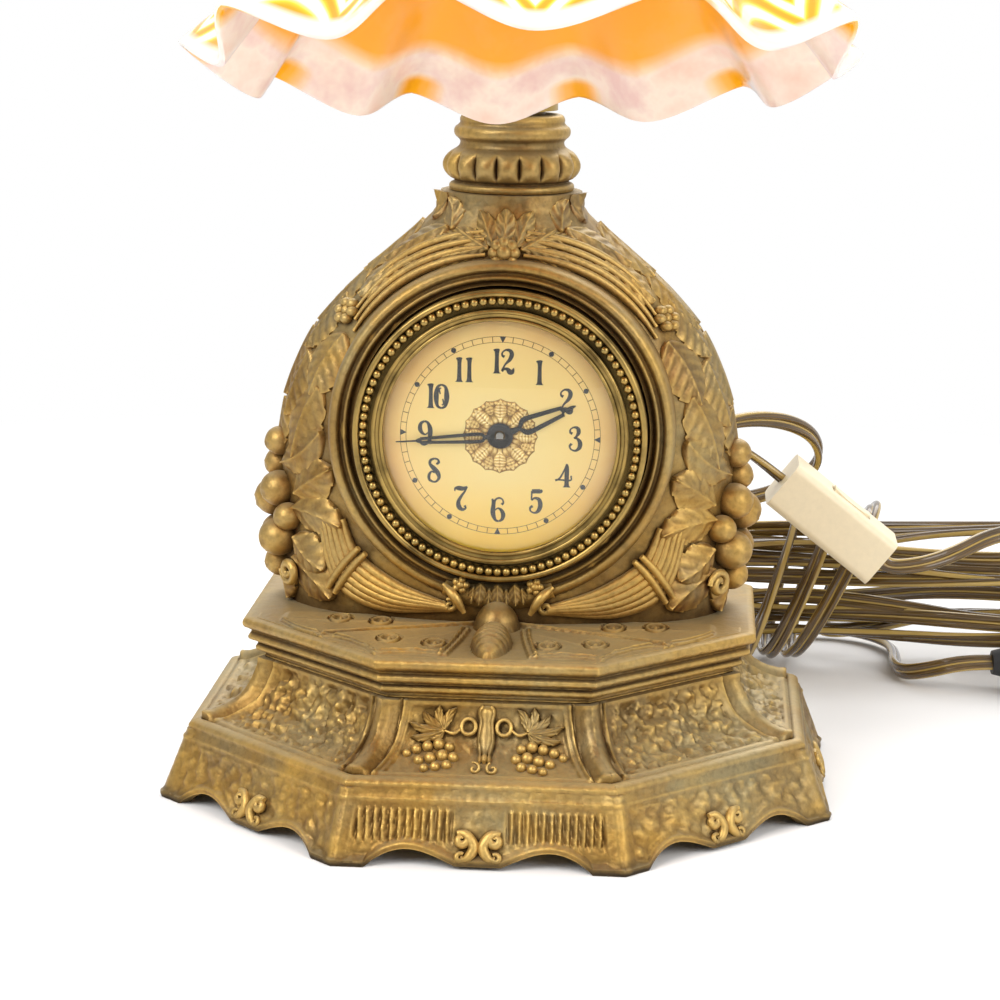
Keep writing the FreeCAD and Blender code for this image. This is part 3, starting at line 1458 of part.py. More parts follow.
def rear_parts(places):
    """Rear cover, winding arbor with ratchet and key, click, and regulator."""
    barrel, balance, click_at = places["barrel"], places["balance"], places["click"]
    cover_back = -rear_seat_back + rear_rebate - rear_cover_thickness
    cover_front = -rear_seat_back + rear_rebate
    slot_middle = regulator_reach
    slot_half = regulator_pin_radius + slot_gap
    sector = tube(slot_middle + slot_half, slot_middle - slot_half, cover_back - overrun,
                  cover_front + overrun)
    wedge_angle = regulator_swing + math.degrees(math.asin(2 * slot_half / slot_middle))
    far = 3 * slot_middle
    wedge = plate([
        (0, 0),
        (polar(far, regulator_direction - wedge_angle).x, polar(far, regulator_direction - wedge_angle).y),
        (polar(far, regulator_direction).x, polar(far, regulator_direction).y),
        (polar(far, regulator_direction + wedge_angle).x, polar(far, regulator_direction + wedge_angle).y),
    ], cover_back - overrun, cover_front + overrun)
    slot = moved(sector.common(wedge), balance.x, balance.y)
    cover = cylinder(rear_cover_radius, cover_back, cover_front).cut([
        cylinder(centre_arbor_radius + rear_cover_hole_gap, cover_back - overrun, cover_front + overrun),
        cylinder(winding_arbor_radius + rear_cover_hole_gap, cover_back - overrun, cover_front + overrun,
                 barrel.x, barrel.y),
        slot,
    ] + [cylinder(small_screw_radius / 2 + running_clearance, cover_back - overrun,
                  cover_front + overrun, p.x, p.y) for p in rear_screw_places()])
    save("rear_cover", clock_frame(cover))

    key_front = cover_back - rear_stand_off - knob_length - rear_stand_off
    key_back = key_front - key_hub_length
    plate_back = back_plate_back
    ratchet_front = plate_back - loose_clearance
    ratchet_back = ratchet_front - ratchet_thickness
    shaft = cylinder(winding_arbor_radius, key_front - key_hub_length / 2, front_plate_front)
    save("winding_arbor", clock_frame(moved(shaft, barrel.x, barrel.y)))
    star = []
    for k in range(ratchet_teeth):
        for radius, share in ((ratchet_root_radius, 0), (ratchet_radius, ratchet_tooth_share)):
            p = polar(radius, (k + share) * 360 / ratchet_teeth)
            star.append((p.x, p.y))
    ratchet = plate(star, ratchet_back, ratchet_front).cut(
        cylinder(winding_arbor_radius, ratchet_back - overrun, ratchet_front + overrun))
    save("ratchet_wheel", clock_frame(moved(ratchet, barrel.x, barrel.y)))
    hub = cylinder(key_hub_radius, key_back, key_front).cut(
        cylinder(winding_arbor_radius, key_front - key_hub_length / 2, key_front + overrun))
    wings = []
    wing_middle = key_back - key_wing_height / 2 + overrun
    for side in (-1, 1):
        loop = Part.makeCylinder(key_wing_height / 2, key_wing_thickness,
                                 V(side * (key_wing_reach - key_wing_height / 2), -key_wing_thickness / 2,
                                   wing_middle), BACK)
        hole = Part.makeCylinder(key_wing_height / 4, 2 * key_wing_thickness,
                                 V(side * (key_wing_reach - key_wing_height / 2), -key_wing_thickness,
                                   wing_middle), BACK)
        wings.append(loop.cut(hole))
    bridge_back = wing_middle - key_hub_radius
    bridge = Part.makeBox(2 * key_bridge_half_width, key_wing_thickness, key_back + overrun - bridge_back,
                          V(-key_bridge_half_width, -key_wing_thickness / 2, bridge_back))
    save("winding_key", clock_frame(moved(joined([hub, bridge] + wings), barrel.x, barrel.y)))

    # Click: its nose stands just clear of the ratchet's tips
    to_wheel = math.degrees(math.atan2(barrel.y - click_at.y, barrel.x - click_at.x))
    nose = click_distance - ratchet_radius - click_clearance
    eye = tube(click_width, arbor_radius + running_clearance, ratchet_back, ratchet_front)
    reach = nose / math.cos(math.radians(click_lean))
    blade = Part.makeBox(reach, click_width, ratchet_thickness, V(0, -click_width / 2, ratchet_back))
    blade = spun(blade, to_wheel + click_lean).common(
        cylinder(click_distance * 2, ratchet_back, ratchet_front).cut(
            cylinder(ratchet_radius + click_clearance, ratchet_back - overrun, ratchet_front + overrun,
                     polar(click_distance, to_wheel).x, polar(click_distance, to_wheel).y)))
    blade = blade.cut(cylinder(arbor_radius + running_clearance, ratchet_back - overrun,
                               ratchet_front + overrun))
    save("ratchet_click", clock_frame(moved(joined([eye, blade]), click_at.x, click_at.y)))

    reg_front = plate_back - loose_clearance
    reg_back = reg_front - regulator_thickness
    lever = Part.makeBox(regulator_reach, regulator_width, regulator_thickness,
                         V(0, -regulator_width / 2, reg_back))
    eye = cylinder(2 * regulator_width / 2 + arbor_radius, reg_back, reg_front)
    pin_back = cover_back - rear_stand_off
    pin = cylinder(regulator_pin_radius, pin_back, reg_front, regulator_reach)
    body = joined([lever, eye, cylinder(regulator_width / 2, reg_back, reg_front, regulator_reach), pin])
    body = body.cut(cylinder(arbor_radius + running_clearance, reg_back - overrun, reg_front + overrun))
    save("regulator_lever", clock_frame(moved(spun(body, regulator_direction), balance.x, balance.y)))


def switch_place(shape):
    """From the switch's frame (+X along the cord, +Z its rocker side) to the lamp's."""
    return moved(spun(shape, switch_tilt, axis=BACK), *switch_centre)


def inline_switch():
    half = switch_thickness / 2
    body = box(switch_length, switch_width, -half, half)
    edges = [e for e in body.Edges if abs(e.tangentAt(e.FirstParameter).x) > 0.9]
    body = body.makeFillet(switch_corner, edges)
    well = moved(box(rocker_length, rocker_width, half - rocker_depth, half + overrun), x=rocker_shift)
    body = body.cut(well)
    pin = Part.makeCylinder(rocker_pin_radius, rocker_width + 2 * overrun,
                            V(rocker_shift, -rocker_width / 2 - overrun, half - rocker_depth / 3), BACK)
    body = body.cut(pin)
    save("switch_body", switch_place(body))
    gap = loose_clearance
    low = half - rocker_depth / 2
    arc_high = half + rocker_proud
    length = rocker_length / 2 - 2 * gap
    profile = face_of([
        (-length + gap, 0, low), (length - gap, 0, low), (length, 0, arc_high - rocker_proud / 2),
        ("arc", (0, 0, half + gap), (-length, 0, arc_high - rocker_proud / 2)),
    ])
    width = rocker_width - 2 * gap
    rocker = moved(profile, x=rocker_shift, y=-width / 2).extrude(V(0, width, 0))
    stubs = Part.makeCylinder(rocker_pin_radius - running_clearance, rocker_width + 2 * overrun - 2 * gap,
                              V(rocker_shift, -rocker_width / 2 - overrun + gap, half - rocker_depth / 3),
                              BACK)
    save("switch_rocker", switch_place(joined([rocker, stubs])))


def plug_place(shape):
    return moved(spun(shape, plug_turn), *plug_end)


def plug():
    """A round rubber plug lying on its side, its cord end towards -X, with two flat blades."""
    mouth = cord_diameter / 2 + plug_mouth_wall
    neck = Part.makeCone(mouth, plug_neck_radius, plug_neck_length, V(0, 0, 0), RIGHT)
    body = Part.makeCone(plug_radius * plug_taper_share, plug_radius, plug_length - plug_neck_length,
                         V(plug_neck_length, 0, 0), RIGHT)
    flat_low = box(4 * plug_length, 4 * plug_radius, -plug_end[2] - 2 * plug_radius, -plug_end[2])
    save("plug_body", plug_place(joined([neck, body]).cut(flat_low)))
    blades = [
        Part.makeBox(blade_length, blade_thickness, blade_width,
                     V(plug_length, side * blade_pitch / 2 - blade_thickness / 2, -blade_width / 2))
        for side in (-1, 1)
    ]
    save("plug_blades", plug_place(Part.makeCompound(blades)))


def bushing():
    start = V(cord_exit_x, cord_exit_y, cord_exit_z)
    flange = Part.makeCylinder(bushing_flange_radius, bushing_flange, start, BACK)
    barrel = Part.makeCylinder(bushing_radius - running_clearance, 2 * cast_wall, start, -BACK)
    hole = Part.makeCylinder(cord_diameter / 2, 3 * cast_wall, start, -BACK)
    save("cord_bushing", joined([flange, barrel]).cut(hole))


def corner_arc(start, corner, end):
    """The arc that leaves start towards the corner and reaches end, with its radius."""
    turn = (corner - start).getAngle(end - corner)
    if turn < 1e-4:
        return Part.LineSegment(start, end).toShape(), math.inf
    radius = (corner - start).Length / math.tan(turn / 2)
    to_chord = (start + end) * 0.5 - corner
    middle = corner + to_chord * ((radius / math.cos(turn / 2) - radius) / to_chord.Length)
    return Part.Arc(start, middle, end).toShape(), radius


def rounded_route(points, name):
    """Straight runs joined by tangent arcs, each as large as its two runs allow."""
    points = [V(*p) for p in points]
    edges, last, radii = [], points[0], []
    for a, b, c in zip(points, points[1:], points[2:]):
        trim = 0.45 * min((b - a).Length, (c - b).Length)
        start = b + (a - b) * (trim / (b - a).Length)
        end = b + (c - b) * (trim / (c - b).Length)
        arc, radius = corner_arc(start, b, end)
        edges += [Part.LineSegment(last, start).toShape(), arc]
        radii.append(round(radius, 1))
        last = end
    edges.append(Part.LineSegment(last, points[-1]).toShape())
    print(name, "radii", radii)
    return edges


def biarcs(nodes, name):
    """Pairs of tangent arcs through (point, direction) nodes."""
    edges, least = [], math.inf
    for (p0, t0), (p1, t1) in zip(nodes, nodes[1:]):
        v = p1 - p0
        along = v.dot(t0 + t1)
        bend = 2 * (t0.dot(t1) - 1)
        if abs(bend) < 1e-9:
            d = v.dot(v) / (2 * along)
        else:
            d = (2 * along - math.sqrt(4 * along ** 2 - 4 * bend * v.dot(v))) / (2 * bend)
        q0, q1 = p0 + t0 * d, p1 - t1 * d
        middle = (q0 + q1) * 0.5
        for start, corner, end in ((p0, q0, middle), (middle, q1, p1)):
            arc, radius = corner_arc(start, corner, end)
            edges.append(arc)
            least = min(least, radius)
    print(name, "least radius", round(least, 1))
    return edges


def nodes_of(curve, first, last, count):
    """(point, direction) nodes of a curve given as a function of one number."""
    nodes = []
    step = (last - first) / count
    for k in range(count + 1):
        at = first + k * step
        way = curve(at + step / 100) - curve(at - step / 100)
        nodes.append((curve(at), way.normalize()))
    return nodes


def hank_axis_height():
    return wrap_radius + cord_diameter / 2 + floor_gap


def hank_point(u):
    """The hank's line; u counts its loops from the left end of the topmost."""
    turn = 2 * math.pi * u
    middle = hank_start + hank_loops / 2
    half_length = hank_half_length + hank_length_spread * math.sin(hank_spread_rate * u)
    x = -half_length * math.cos(turn)
    dip = math.exp(-(((x + hank_centre_x - hank_waist_x) / hank_waist_half_length) ** 4))
    width = hank_half_width - (hank_half_width - hank_waist_half_width) * dip
    y = -width * math.tanh(hank_end_sharpness * math.sin(turn)) / math.tanh(hank_end_sharpness)
    return V(hank_centre_x + x, hank_axis_y + y, hank_axis_height() + hank_pitch * (middle - u))


def wrap_point(v):
    """The wraps' line; v counts turns back from its end on the floor, under the hank."""
    turn = math.radians(-90 - 360 * v)
    rise = (1 + math.sin(turn)) / 2
    foot = wrap_foot_x + wrap_foot_pitch * v
    head = wrap_head_x + wrap_head_pitch * v
    return V(foot + (head - foot) * rise, hank_axis_y + wrap_radius * math.cos(turn),
             hank_axis_height() + wrap_radius * math.sin(turn))


def cord_tube(edges, name):
    """A round tube along a route; prints its length, and its volume against section times length."""
    wire = Part.Wire(edges)
    first = edges[0]
    start = first.valueAt(first.FirstParameter)
    circle = Part.Wire([Part.Circle(start, first.tangentAt(first.FirstParameter),
                                    cord_diameter / 2).toShape()])
    solid = wire.makePipeShell([circle], True, False)
    section = math.pi * cord_diameter ** 2 / 4
    print(name, "length", round(wire.Length, 1), "volume share",
          round(solid.Volume / (section * wire.Length), 4))
    return solid


def least_gap(edges, name):
    """The least gap of a tube to itself, measured on points along its line."""
    wire = Part.Wire(edges)
    step = cord_diameter / 4
    points = wire.discretize(Distance=step)
    skip = int(3 * cord_diameter / step)
    least = math.inf
    for i, a in enumerate(points):
        for b in points[i + skip:]:
            if abs(a.x - b.x) < 2 * cord_diameter and abs(a.z - b.z) < 2 * cord_diameter:
                least = min(least, a.distanceToPoint(b))
    print(name, "least gap to itself", round(least - cord_diameter, 2))


def cords():
    save("cord_lead", cord_tube(rounded_route(lead_route, "lead"), "lead"))

    # From the switch through the hank's loops and the wraps to the floor
    tilt = math.radians(switch_tilt)
    way = V(math.cos(tilt), 0, -math.sin(tilt))
    outlet = V(*switch_centre) + way * (switch_length / 2)
    loops = nodes_of(hank_point, hank_start, hank_start + hank_loops,
                     round(hank_loops * hank_nodes_per_loop))
    lead_in = V(*hank_lead_in)
    nodes = [(outlet, way), (outlet + way * cord_diameter, way)]
    nodes += [(lead_in, (loops[0][0] - lead_in).normalize())] + loops
    nodes += nodes_of(wrap_point, wrap_turns, 0, round(wrap_turns * wrap_nodes_per_turn))
    nodes[-1] = (nodes[-1][0], BACK)
    edges = biarcs(nodes, "hank")
    save("cord_hank", cord_tube(edges, "hank"))
    least_gap(edges, "hank")

    save("cord_tail", cord_tube(rounded_route(tail_route, "tail"), "tail"))


def main():
    os.makedirs(OUT, exist_ok=True)
    places = arbor_places()
    plinth()
    clock_case()
    collar()
    nipple_and_nuts()
    base_plate()
    arm()
    lampholder()
    gallery()
    shade()
    bulb()
    dial_and_cover()
    plates(places)
    going_train(places)
    escapement(places)
    motion_work(places)
    rear_parts(places)
    bushing()
    inline_switch()
    plug()
    cords()


main()
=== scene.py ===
"""Looks of the desk clock lamp: gilt castings, ruffled art glass, a printed dial and its twin cord."""

import math

import bpy
import numpy as np
from mathutils import Matrix, Vector, noise


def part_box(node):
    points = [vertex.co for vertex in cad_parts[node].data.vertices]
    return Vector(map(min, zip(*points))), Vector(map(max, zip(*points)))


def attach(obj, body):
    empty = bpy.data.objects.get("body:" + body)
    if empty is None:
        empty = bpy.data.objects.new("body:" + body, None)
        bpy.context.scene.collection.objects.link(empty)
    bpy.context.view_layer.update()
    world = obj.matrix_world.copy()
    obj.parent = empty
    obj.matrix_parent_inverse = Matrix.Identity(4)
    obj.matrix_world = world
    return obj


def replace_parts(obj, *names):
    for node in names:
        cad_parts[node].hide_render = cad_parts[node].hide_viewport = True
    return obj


bl_info = {
    "name": "Desk clock lamp",
    "version": (1, 0, 0),
    "blender": (4, 5, 0),
    "location": "View3D > Sidebar > Clock lamp",
    "description": "Dresses a gilt clock lamp with an octagonal plinth, a bent arm and a ruffled glass shade",
    "category": "Object",
}

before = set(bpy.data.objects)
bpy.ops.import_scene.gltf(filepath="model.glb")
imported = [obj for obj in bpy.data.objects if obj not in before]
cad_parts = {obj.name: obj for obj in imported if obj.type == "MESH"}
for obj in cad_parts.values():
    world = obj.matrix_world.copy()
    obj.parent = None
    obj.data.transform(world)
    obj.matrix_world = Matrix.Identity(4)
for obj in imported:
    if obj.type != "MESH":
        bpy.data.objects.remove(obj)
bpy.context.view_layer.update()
mm = 0.001
TURN = 2 * math.pi
SIDE = math.tan(math.pi / 8)


def linear(code):
    """A colour written as #rrggbb, in the linear values that shaders take."""
    parts = [int(code[k:k + 2], 16) / 255 for k in (1, 3, 5)]
    return tuple(p / 12.92 if p <= 0.04045 else ((p + 0.055) / 1.055) ** 2.4 for p in parts) + (1.0,)


def size(name, description, default):
    """A length in metres that the user may change."""
    return bpy.props.FloatProperty(name=name, description=description, default=default, unit="LENGTH",
                                   precision=4)


def colour(name, description, code):
    """A colour that the user may change."""
    return bpy.props.FloatVectorProperty(name=name, description=description, subtype="COLOR", size=4,
                                         default=linear(code), min=0, max=1)


class ClockLampSizes(bpy.types.PropertyGroup):
    """Sizes of the dressed pieces."""
    cord_width: size("Cord width", "Width of the flat twin cord", 0.0052)
    relief: size("Relief", "Greatest height of the ornament in the plinth's panels", 0.0011)
    bead_radius: size("Bezel bead", "Radius of the beads round the bezel", 0.0012)
    bead_circle: size("Bead circle", "Radius of the circle that the beads stand on", 0.0372)
    track_radius: size("Minute track", "Radius of the outer line of the dial's minute track", 0.0271)
    glass: size("Glass", "Thickness of the shade's glass", 0.0024)
    ruffle: size("Ruffle", "Height of the shade's ruffle, middle to top", 0.0042)


class ClockLampColours(bpy.types.PropertyGroup):
    """Colours of the finishes."""
    gilt: colour("Gilt", "The casting's worn gilding", "#9f7c3e")
    # Bright gilt: worn ridges of the casting, also used as a painted highlight on them.
    gilt_high: colour("Bright gilt", "Rubbed edges of the casting", "#e0ba6a")
    # The recess colour is painted shade in the casting's hollows, in the tone of old lacquer.
    recess: colour("Recess", "Old lacquer in the casting's hollows", "#3b200f")
    patina: colour("Patina", "Grey bloom on the casting", "#8f8869")
    brass: colour("Brass", "Aged yellow brass", "#ab8f52")
    card: colour("Dial", "The dial's cream paint", "#ffe69e")
    # This colour is mixed into the dial towards its bottom.
    card_edge: colour("Dial edge", "The dial's paint where it has yellowed", "#ffd648")
    ink: colour("Ink", "The dial's printed figures", "#30343a")
    opal: colour("Opal", "The shade's white glass", "#e8dfd3")
    feather: colour("Feather", "The gold feathers drawn through the glass", "#f6c22a")
    lustre: colour("Lustre", "The gold lustre inside the shade", "#fab012")
    blush: colour("Blush", "The lustre near the lip", "#efcab9")
    vinyl: colour("Cord", "The cord's clear gold vinyl", "#83622f")
    cream: colour("Switch", "The switch's cream plastic", "#f2e2bf")
    rubber: colour("Plug", "The plug's black rubber", "#1b1b1d")


def clear_selection():
    """Leaves edit mode with nothing selected."""
    if bpy.context.object and bpy.context.object.mode != "OBJECT":
        bpy.ops.object.mode_set(mode="OBJECT")
    bpy.ops.object.select_all(action="DESELECT")


def choose(piece):
    """Makes one piece the only selected one."""
    clear_selection()
    bpy.context.view_layer.objects.active = piece
    piece.select_set(True)


def finish(piece, name, made, body, smooth=40, weld=0.0):
    """Names a piece, welds its doubles, smooths it and lets it ride on its body."""
    choose(piece)
    piece.name = name
    piece.data.name = name
    if weld:
        bpy.ops.object.mode_set(mode="EDIT")
        bpy.ops.mesh.select_all(action="SELECT")
        bpy.ops.mesh.remove_doubles(threshold=weld)
        bpy.ops.mesh.normals_make_consistent(inside=False)
        bpy.ops.object.mode_set(mode="OBJECT")
    bpy.ops.object.shade_smooth_by_angle(angle=math.radians(smooth))
    if made:
        piece.data.materials.clear()
        piece.data.materials.append(made)
    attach(piece, body)
    clear_selection()
    return piece


def grid(points):
    """A primitive grid whose vertices go to an array of points in millimetres, row by row."""
    rows, columns = points.shape[:2]
    clear_selection()
    bpy.ops.mesh.primitive_grid_add(x_subdivisions=columns - 1, y_subdivisions=rows - 1, size=2)
    piece = bpy.context.object
    flat = np.empty(len(piece.data.vertices) * 3)
    piece.data.vertices.foreach_get("co", flat)
    flat = flat.reshape(-1, 3)
    column = np.rint((flat[:, 0] + 1) / 2 * (columns - 1)).astype(int)
    row = np.rint((flat[:, 1] + 1) / 2 * (rows - 1)).astype(int)
    piece.data.vertices.foreach_set("co", (points[row, column] * mm).ravel())
    piece.data.update()
    return piece


def join(pieces):
    """One object from several."""
    clear_selection()
    bpy.context.view_layer.objects.active = pieces[0]
    for piece in pieces:
        piece.select_set(True)
    if len(pieces) > 1:
        bpy.ops.object.join()
    return bpy.context.object


def feed(tree, node, inputs):
    """Gives a node's inputs a value each, or an output to be linked; a node stands for its first output."""
    for socket, value in inputs.items():
        if isinstance(value, bpy.types.Node):
            value = value.outputs[0]
        if isinstance(value, bpy.types.NodeSocket):
            tree.links.new(value, node.inputs[socket])
        else:
            node.inputs[socket].default_value = value


def add(tree, kind, inputs=None, stops=None, **settings):
    """Adds a shader node with its settings, its inputs and the stops of its colour ramp."""
    made = tree.nodes.new("ShaderNode" + kind)
    for key, value in settings.items():
        setattr(made, key, value)
    feed(tree, made, inputs or {})
    if stops:
        ramp = made.color_ramp
        while len(ramp.elements) < len(stops):
            ramp.elements.new(1.0)
        for element, (place, tint) in zip(ramp.elements, stops):
            element.position = place
            element.color = tint
    return made


def material(name):
    """A new material with only a surface shader, and the shader's tree, shader and object coordinates."""
    made = bpy.data.materials.new(name)
    made.use_nodes = True
    tree = made.node_tree
    shader = tree.nodes["Principled BSDF"]
    place = add(tree, "TexCoord").outputs["Object"]
    return made, tree, shader, place


def grey(level):
    """A grey for a colour ramp that makes a plain number."""
    return (level, level, level, 1.0)


def scaled(tone, share):
    """A colour made darker or brighter."""
    return tuple(share * c for c in tone[:3]) + (1.0,)


def dress(tree, shader, **inputs):
    """Feeds the shader's sockets, which are named here with underscores for spaces."""
    feed(tree, shader, {name.replace("_", " "): value for name, value in inputs.items()})


# Gilt spelter: a zinc casting, gold plated and toned with brown lacquer that time has rubbed off its edges.
# It shows as a soft metal shine, hollows painted in shade of a dark reddish lacquer tone, ridges worn bright
# and given a painted highlight, and a grey-green bloom.
def gilt_spelter(tones, name="gilt_spelter", wear=1.0, lacquer_shade_tone="#6b512c"):
    made, tree, shader, place = material(name)
    cloud = add(tree, "TexNoise", {"Vector": place, "Scale": 45.0, "Detail": 5.0, "Roughness": 0.6})
    speck = add(tree, "TexNoise", {"Vector": place, "Scale": 650.0, "Detail": 3.0, "Roughness": 0.6})
    mottled = add(tree, "ValToRGB", {"Fac": cloud}, [
        (0.28, linear("#765730")), (0.50, tones.gilt), (0.74, linear("#c79f4c"))])
    bloom = add(tree, "TexNoise", {"Vector": place, "Scale": 22.0, "Detail": 6.0, "Roughness": 0.65,
                                   "Distortion": 0.6})
    bloom_share = add(tree, "ValToRGB", {"Fac": bloom}, [(0.42, grey(0)), (0.66, grey(0.7))])
    toned = add(tree, "MixRGB", {"Fac": bloom_share, "Color1": mottled,
                                 "Color2": tones.patina})
    # Painted shade: ambient occlusion darkens the hollows and tints them dark reddish, in an old lacquer tone.
    open_air = add(tree, "AmbientOcclusion", {"Distance": 0.008}, samples=6)
    hollow = add(tree, "ValToRGB", {"Fac": open_air.outputs["AO"]}, [
        (0.22, grey(1)), (0.55, grey(0.6)), (0.90, grey(0))])
    lacquer_and_shade = add(tree, "ValToRGB", {"Fac": open_air.outputs["AO"]}, [
        (0.25, tones.recess), (0.60, linear(lacquer_shade_tone))])
    dark = add(tree, "MixRGB", {"Fac": hollow, "Color1": toned,
                                "Color2": lacquer_and_shade})
    shape = add(tree, "NewGeometry")
    # Painted highlight and wear: ridges found by pointiness get the bright gilt, as far as the wear argument
    # allows.
    ridge_wear_and_highlight = add(tree, "ValToRGB", {"Fac": shape.outputs["Pointiness"]}, [
        (0.50, grey(0)), (0.60, grey(0.9 * wear))])
    worn = add(tree, "MixRGB", {"Fac": ridge_wear_and_highlight, "Color1": dark,
                                "Color2": tones.gilt_high})
    fleck = add(tree, "ValToRGB", {"Fac": speck}, [(0.25, grey(0.72)), (0.55, grey(1.0))])
    flecked = add(tree, "MixRGB", {"Fac": 1.0, "Color1": worn, "Color2": fleck},
                  blend_type="MULTIPLY")
    part = add(tree, "SeparateXYZ", {"Vector": place})
    foot = add(tree, "MapRange", {"Value": part.outputs["Z"], "From Min": 0.0005, "From Max": 0.0042,
                                  "To Min": 0.9, "To Max": 0.0})
    scuffed = add(tree, "MixRGB", {"Fac": foot, "Color1": flecked,
                                   "Color2": linear("#35302a")})
    # Faces that look upward are mixed towards a pale buff and made less metallic.
    facing = add(tree, "SeparateXYZ", {"Vector": shape.outputs["Normal"]})
    upward_pale = add(tree, "MapRange", {"Value": facing.outputs["Z"], "From Min": 0.70, "From Max": 0.98,
                                  "To Max": 0.5})
    final = add(tree, "MixRGB", {"Fac": upward_pale, "Color1": scuffed,
                                 "Color2": linear("#b3a075")})
    shine = add(tree, "MapRange", {"Value": upward_pale, "From Max": 0.5, "To Min": 0.88, "To Max": 0.45})
    dull = add(tree, "MapRange", {"Value": cloud, "To Min": 0.38, "To Max": 0.58})
    rough = add(tree, "Math", {0: dull, 1: hollow}, operation="MAXIMUM")
    bump = add(tree, "Bump", {"Height": speck, "Strength": 0.25, "Distance": 0.0006})
    dress(tree, shader, Base_Color=final, Roughness=rough, Normal=bump, Metallic=shine)
    return made


# Aged brass: spun and turned sheet, once polished, now dulled to olive brown with fine rubbed lines, with
# painted shade in its crevices.
def aged_brass(tones, name, crevice_shading=0.85, low="#5f4d2a"):
    made, tree, shader, place = material(name)
    cloud = add(tree, "TexNoise", {"Vector": place, "Scale": 90.0, "Detail": 5.0, "Roughness": 0.6})
    tint = add(tree, "ValToRGB", {"Fac": cloud}, [
        (0.30, linear(low)), (0.55, tones.brass), (0.75, linear("#bb9a52"))])
    # Painted shade: ambient occlusion darkens the corners and crevices.
    open_air = add(tree, "AmbientOcclusion", {"Distance": 0.003}, samples=6)
    crevice_shade = add(tree, "ValToRGB", {"Fac": open_air.outputs["AO"]}, [
        (0.25, linear("#3a2a12")), (0.80, grey(1.0))])
    final = add(tree, "MixRGB", {"Fac": crevice_shading, "Color1": tint, "Color2": crevice_shade},
                blend_type="MULTIPLY")
    dull = add(tree, "MapRange", {"Value": cloud, "To Min": 0.24, "To Max": 0.44})
    grain = add(tree, "TexNoise", {"Vector": place, "Scale": 1200.0, "Detail": 2.0})
    bump = add(tree, "Bump", {"Height": grain, "Strength": 0.12, "Distance": 0.0003})
    dress(tree, shader, Base_Color=final, Roughness=dull, Normal=bump, Metallic=0.95)
    return made


# Steel: ground and hardened, for springs, arbors, screws and blades. Neutral, with fine grinding marks.
def ground_steel(name="ground_steel", tint="#a9abae", rough=0.32):
    made, tree, shader, place = material(name)
    grain = add(tree, "TexNoise", {"Vector": place, "Scale": 700.0, "Detail": 4.0, "Roughness": 0.7})
    shade = add(tree, "ValToRGB", {"Fac": grain}, [
        (0.3, scaled(linear(tint), 0.7)), (0.7, linear(tint))])
    dull = add(tree, "MapRange", {"Value": grain, "To Min": rough - 0.08, "To Max": rough + 0.1})
    dress(tree, shader, Base_Color=shade, Roughness=dull, Metallic=1.0)
    return made


# Cream dial: a card lacquered cream, darker and yellower towards its edge and towards its bottom, with a soft
# satin face.
def cream_dial(tones):
    made, tree, shader, place = material("lacquered_dial")
    centred = add(tree, "Mapping", {"Vector": place, "Location": (0.0, 0.0, -0.1032)})
    part = add(tree, "SeparateXYZ", {"Vector": centred})
    flat = add(tree, "CombineXYZ", {"X": part.outputs["X"], "Z": part.outputs["Z"]})
    reach = add(tree, "VectorMath", {0: flat}, operation="LENGTH")
    cloud = add(tree, "TexNoise", {"Vector": place, "Scale": 60.0, "Detail": 3.0})
    uneven = add(tree, "Math", {0: cloud, 1: 0.012}, operation="MULTIPLY")
    warped = add(tree, "Math", {0: reach.outputs["Value"], 1: uneven}, operation="ADD")
    share = add(tree, "MapRange", {"Value": warped, "From Min": 0.0, "From Max": 0.040})
    tint = add(tree, "ValToRGB", {"Fac": share}, [
        (0.0, linear("#fff3b8")), (0.60, tones.card), (0.80, linear("#ffe29a")), (0.95, linear("#f8cb82"))])
    # The lower part of the dial is mixed towards the dial edge colour.
    low = add(tree, "MapRange", {"Value": part.outputs["Z"], "From Min": -0.032, "From Max": -0.012,
                                 "To Min": 0.8, "To Max": 0.0})
    final = add(tree, "MixRGB", {"Fac": low, "Color1": tint,
                                 "Color2": tones.card_edge})
    grain = add(tree, "TexNoise", {"Vector": place, "Scale": 900.0, "Detail": 2.0})
    bump = add(tree, "Bump", {"Height": grain, "Strength": 0.05, "Distance": 0.0002})
    dress(tree, shader, Base_Color=final, Normal=bump, Roughness=0.35, Specular_IOR_Level=0.2)
    return made


# Printing ink and blackened steel hands: near black, a little blue, with a low dry sheen.
def black_finish(name, code, rough, metallic):
    made, tree, shader, place = material(name)
    wear = add(tree, "TexNoise", {"Vector": place, "Scale": 500.0, "Detail": 3.0})
    tint = add(tree, "ValToRGB", {"Fac": wear}, [
        (0.35, linear(code)), (0.8, scaled(linear(code), 1.6))])
    dress(tree, shader, Base_Color=tint, Roughness=rough, Metallic=metallic)
    return made


# Clear glass: the crystal and the bulb, blown or ground thin, with only reflections to show it.
def clear_glass():
    made, tree, shader, place = material("clear_glass")
    smear = add(tree, "TexNoise", {"Vector": place, "Scale": 40.0, "Detail": 3.0})
    dull = add(tree, "MapRange", {"Value": smear, "To Min": 0.0, "To Max": 0.05})
    dress(tree, shader, Roughness=dull, Base_Color=linear("#fffdf6"), Transmission_Weight=1.0, IOR=1.45,
          Specular_IOR_Level=0.3)
    return made


# Moulded plastic, rubber, fibre and porcelain: plain matt bodies with a fine moulding grain.
def moulded(name, code, rough, grain_scale=600.0, sheen=0.0):
    made, tree, shader, place = material(name)
    grain = add(tree, "TexNoise", {"Vector": place, "Scale": grain_scale, "Detail": 3.0})
    tint = add(tree, "ValToRGB", {"Fac": grain}, [
        (0.3, scaled(code, 0.95)), (0.7, tuple(code))])
    bump = add(tree, "Bump", {"Height": grain, "Strength": 0.05, "Distance": 0.0001})
    dress(tree, shader, Base_Color=tint, Normal=bump, Roughness=rough, Coat_Weight=sheen)
    return made


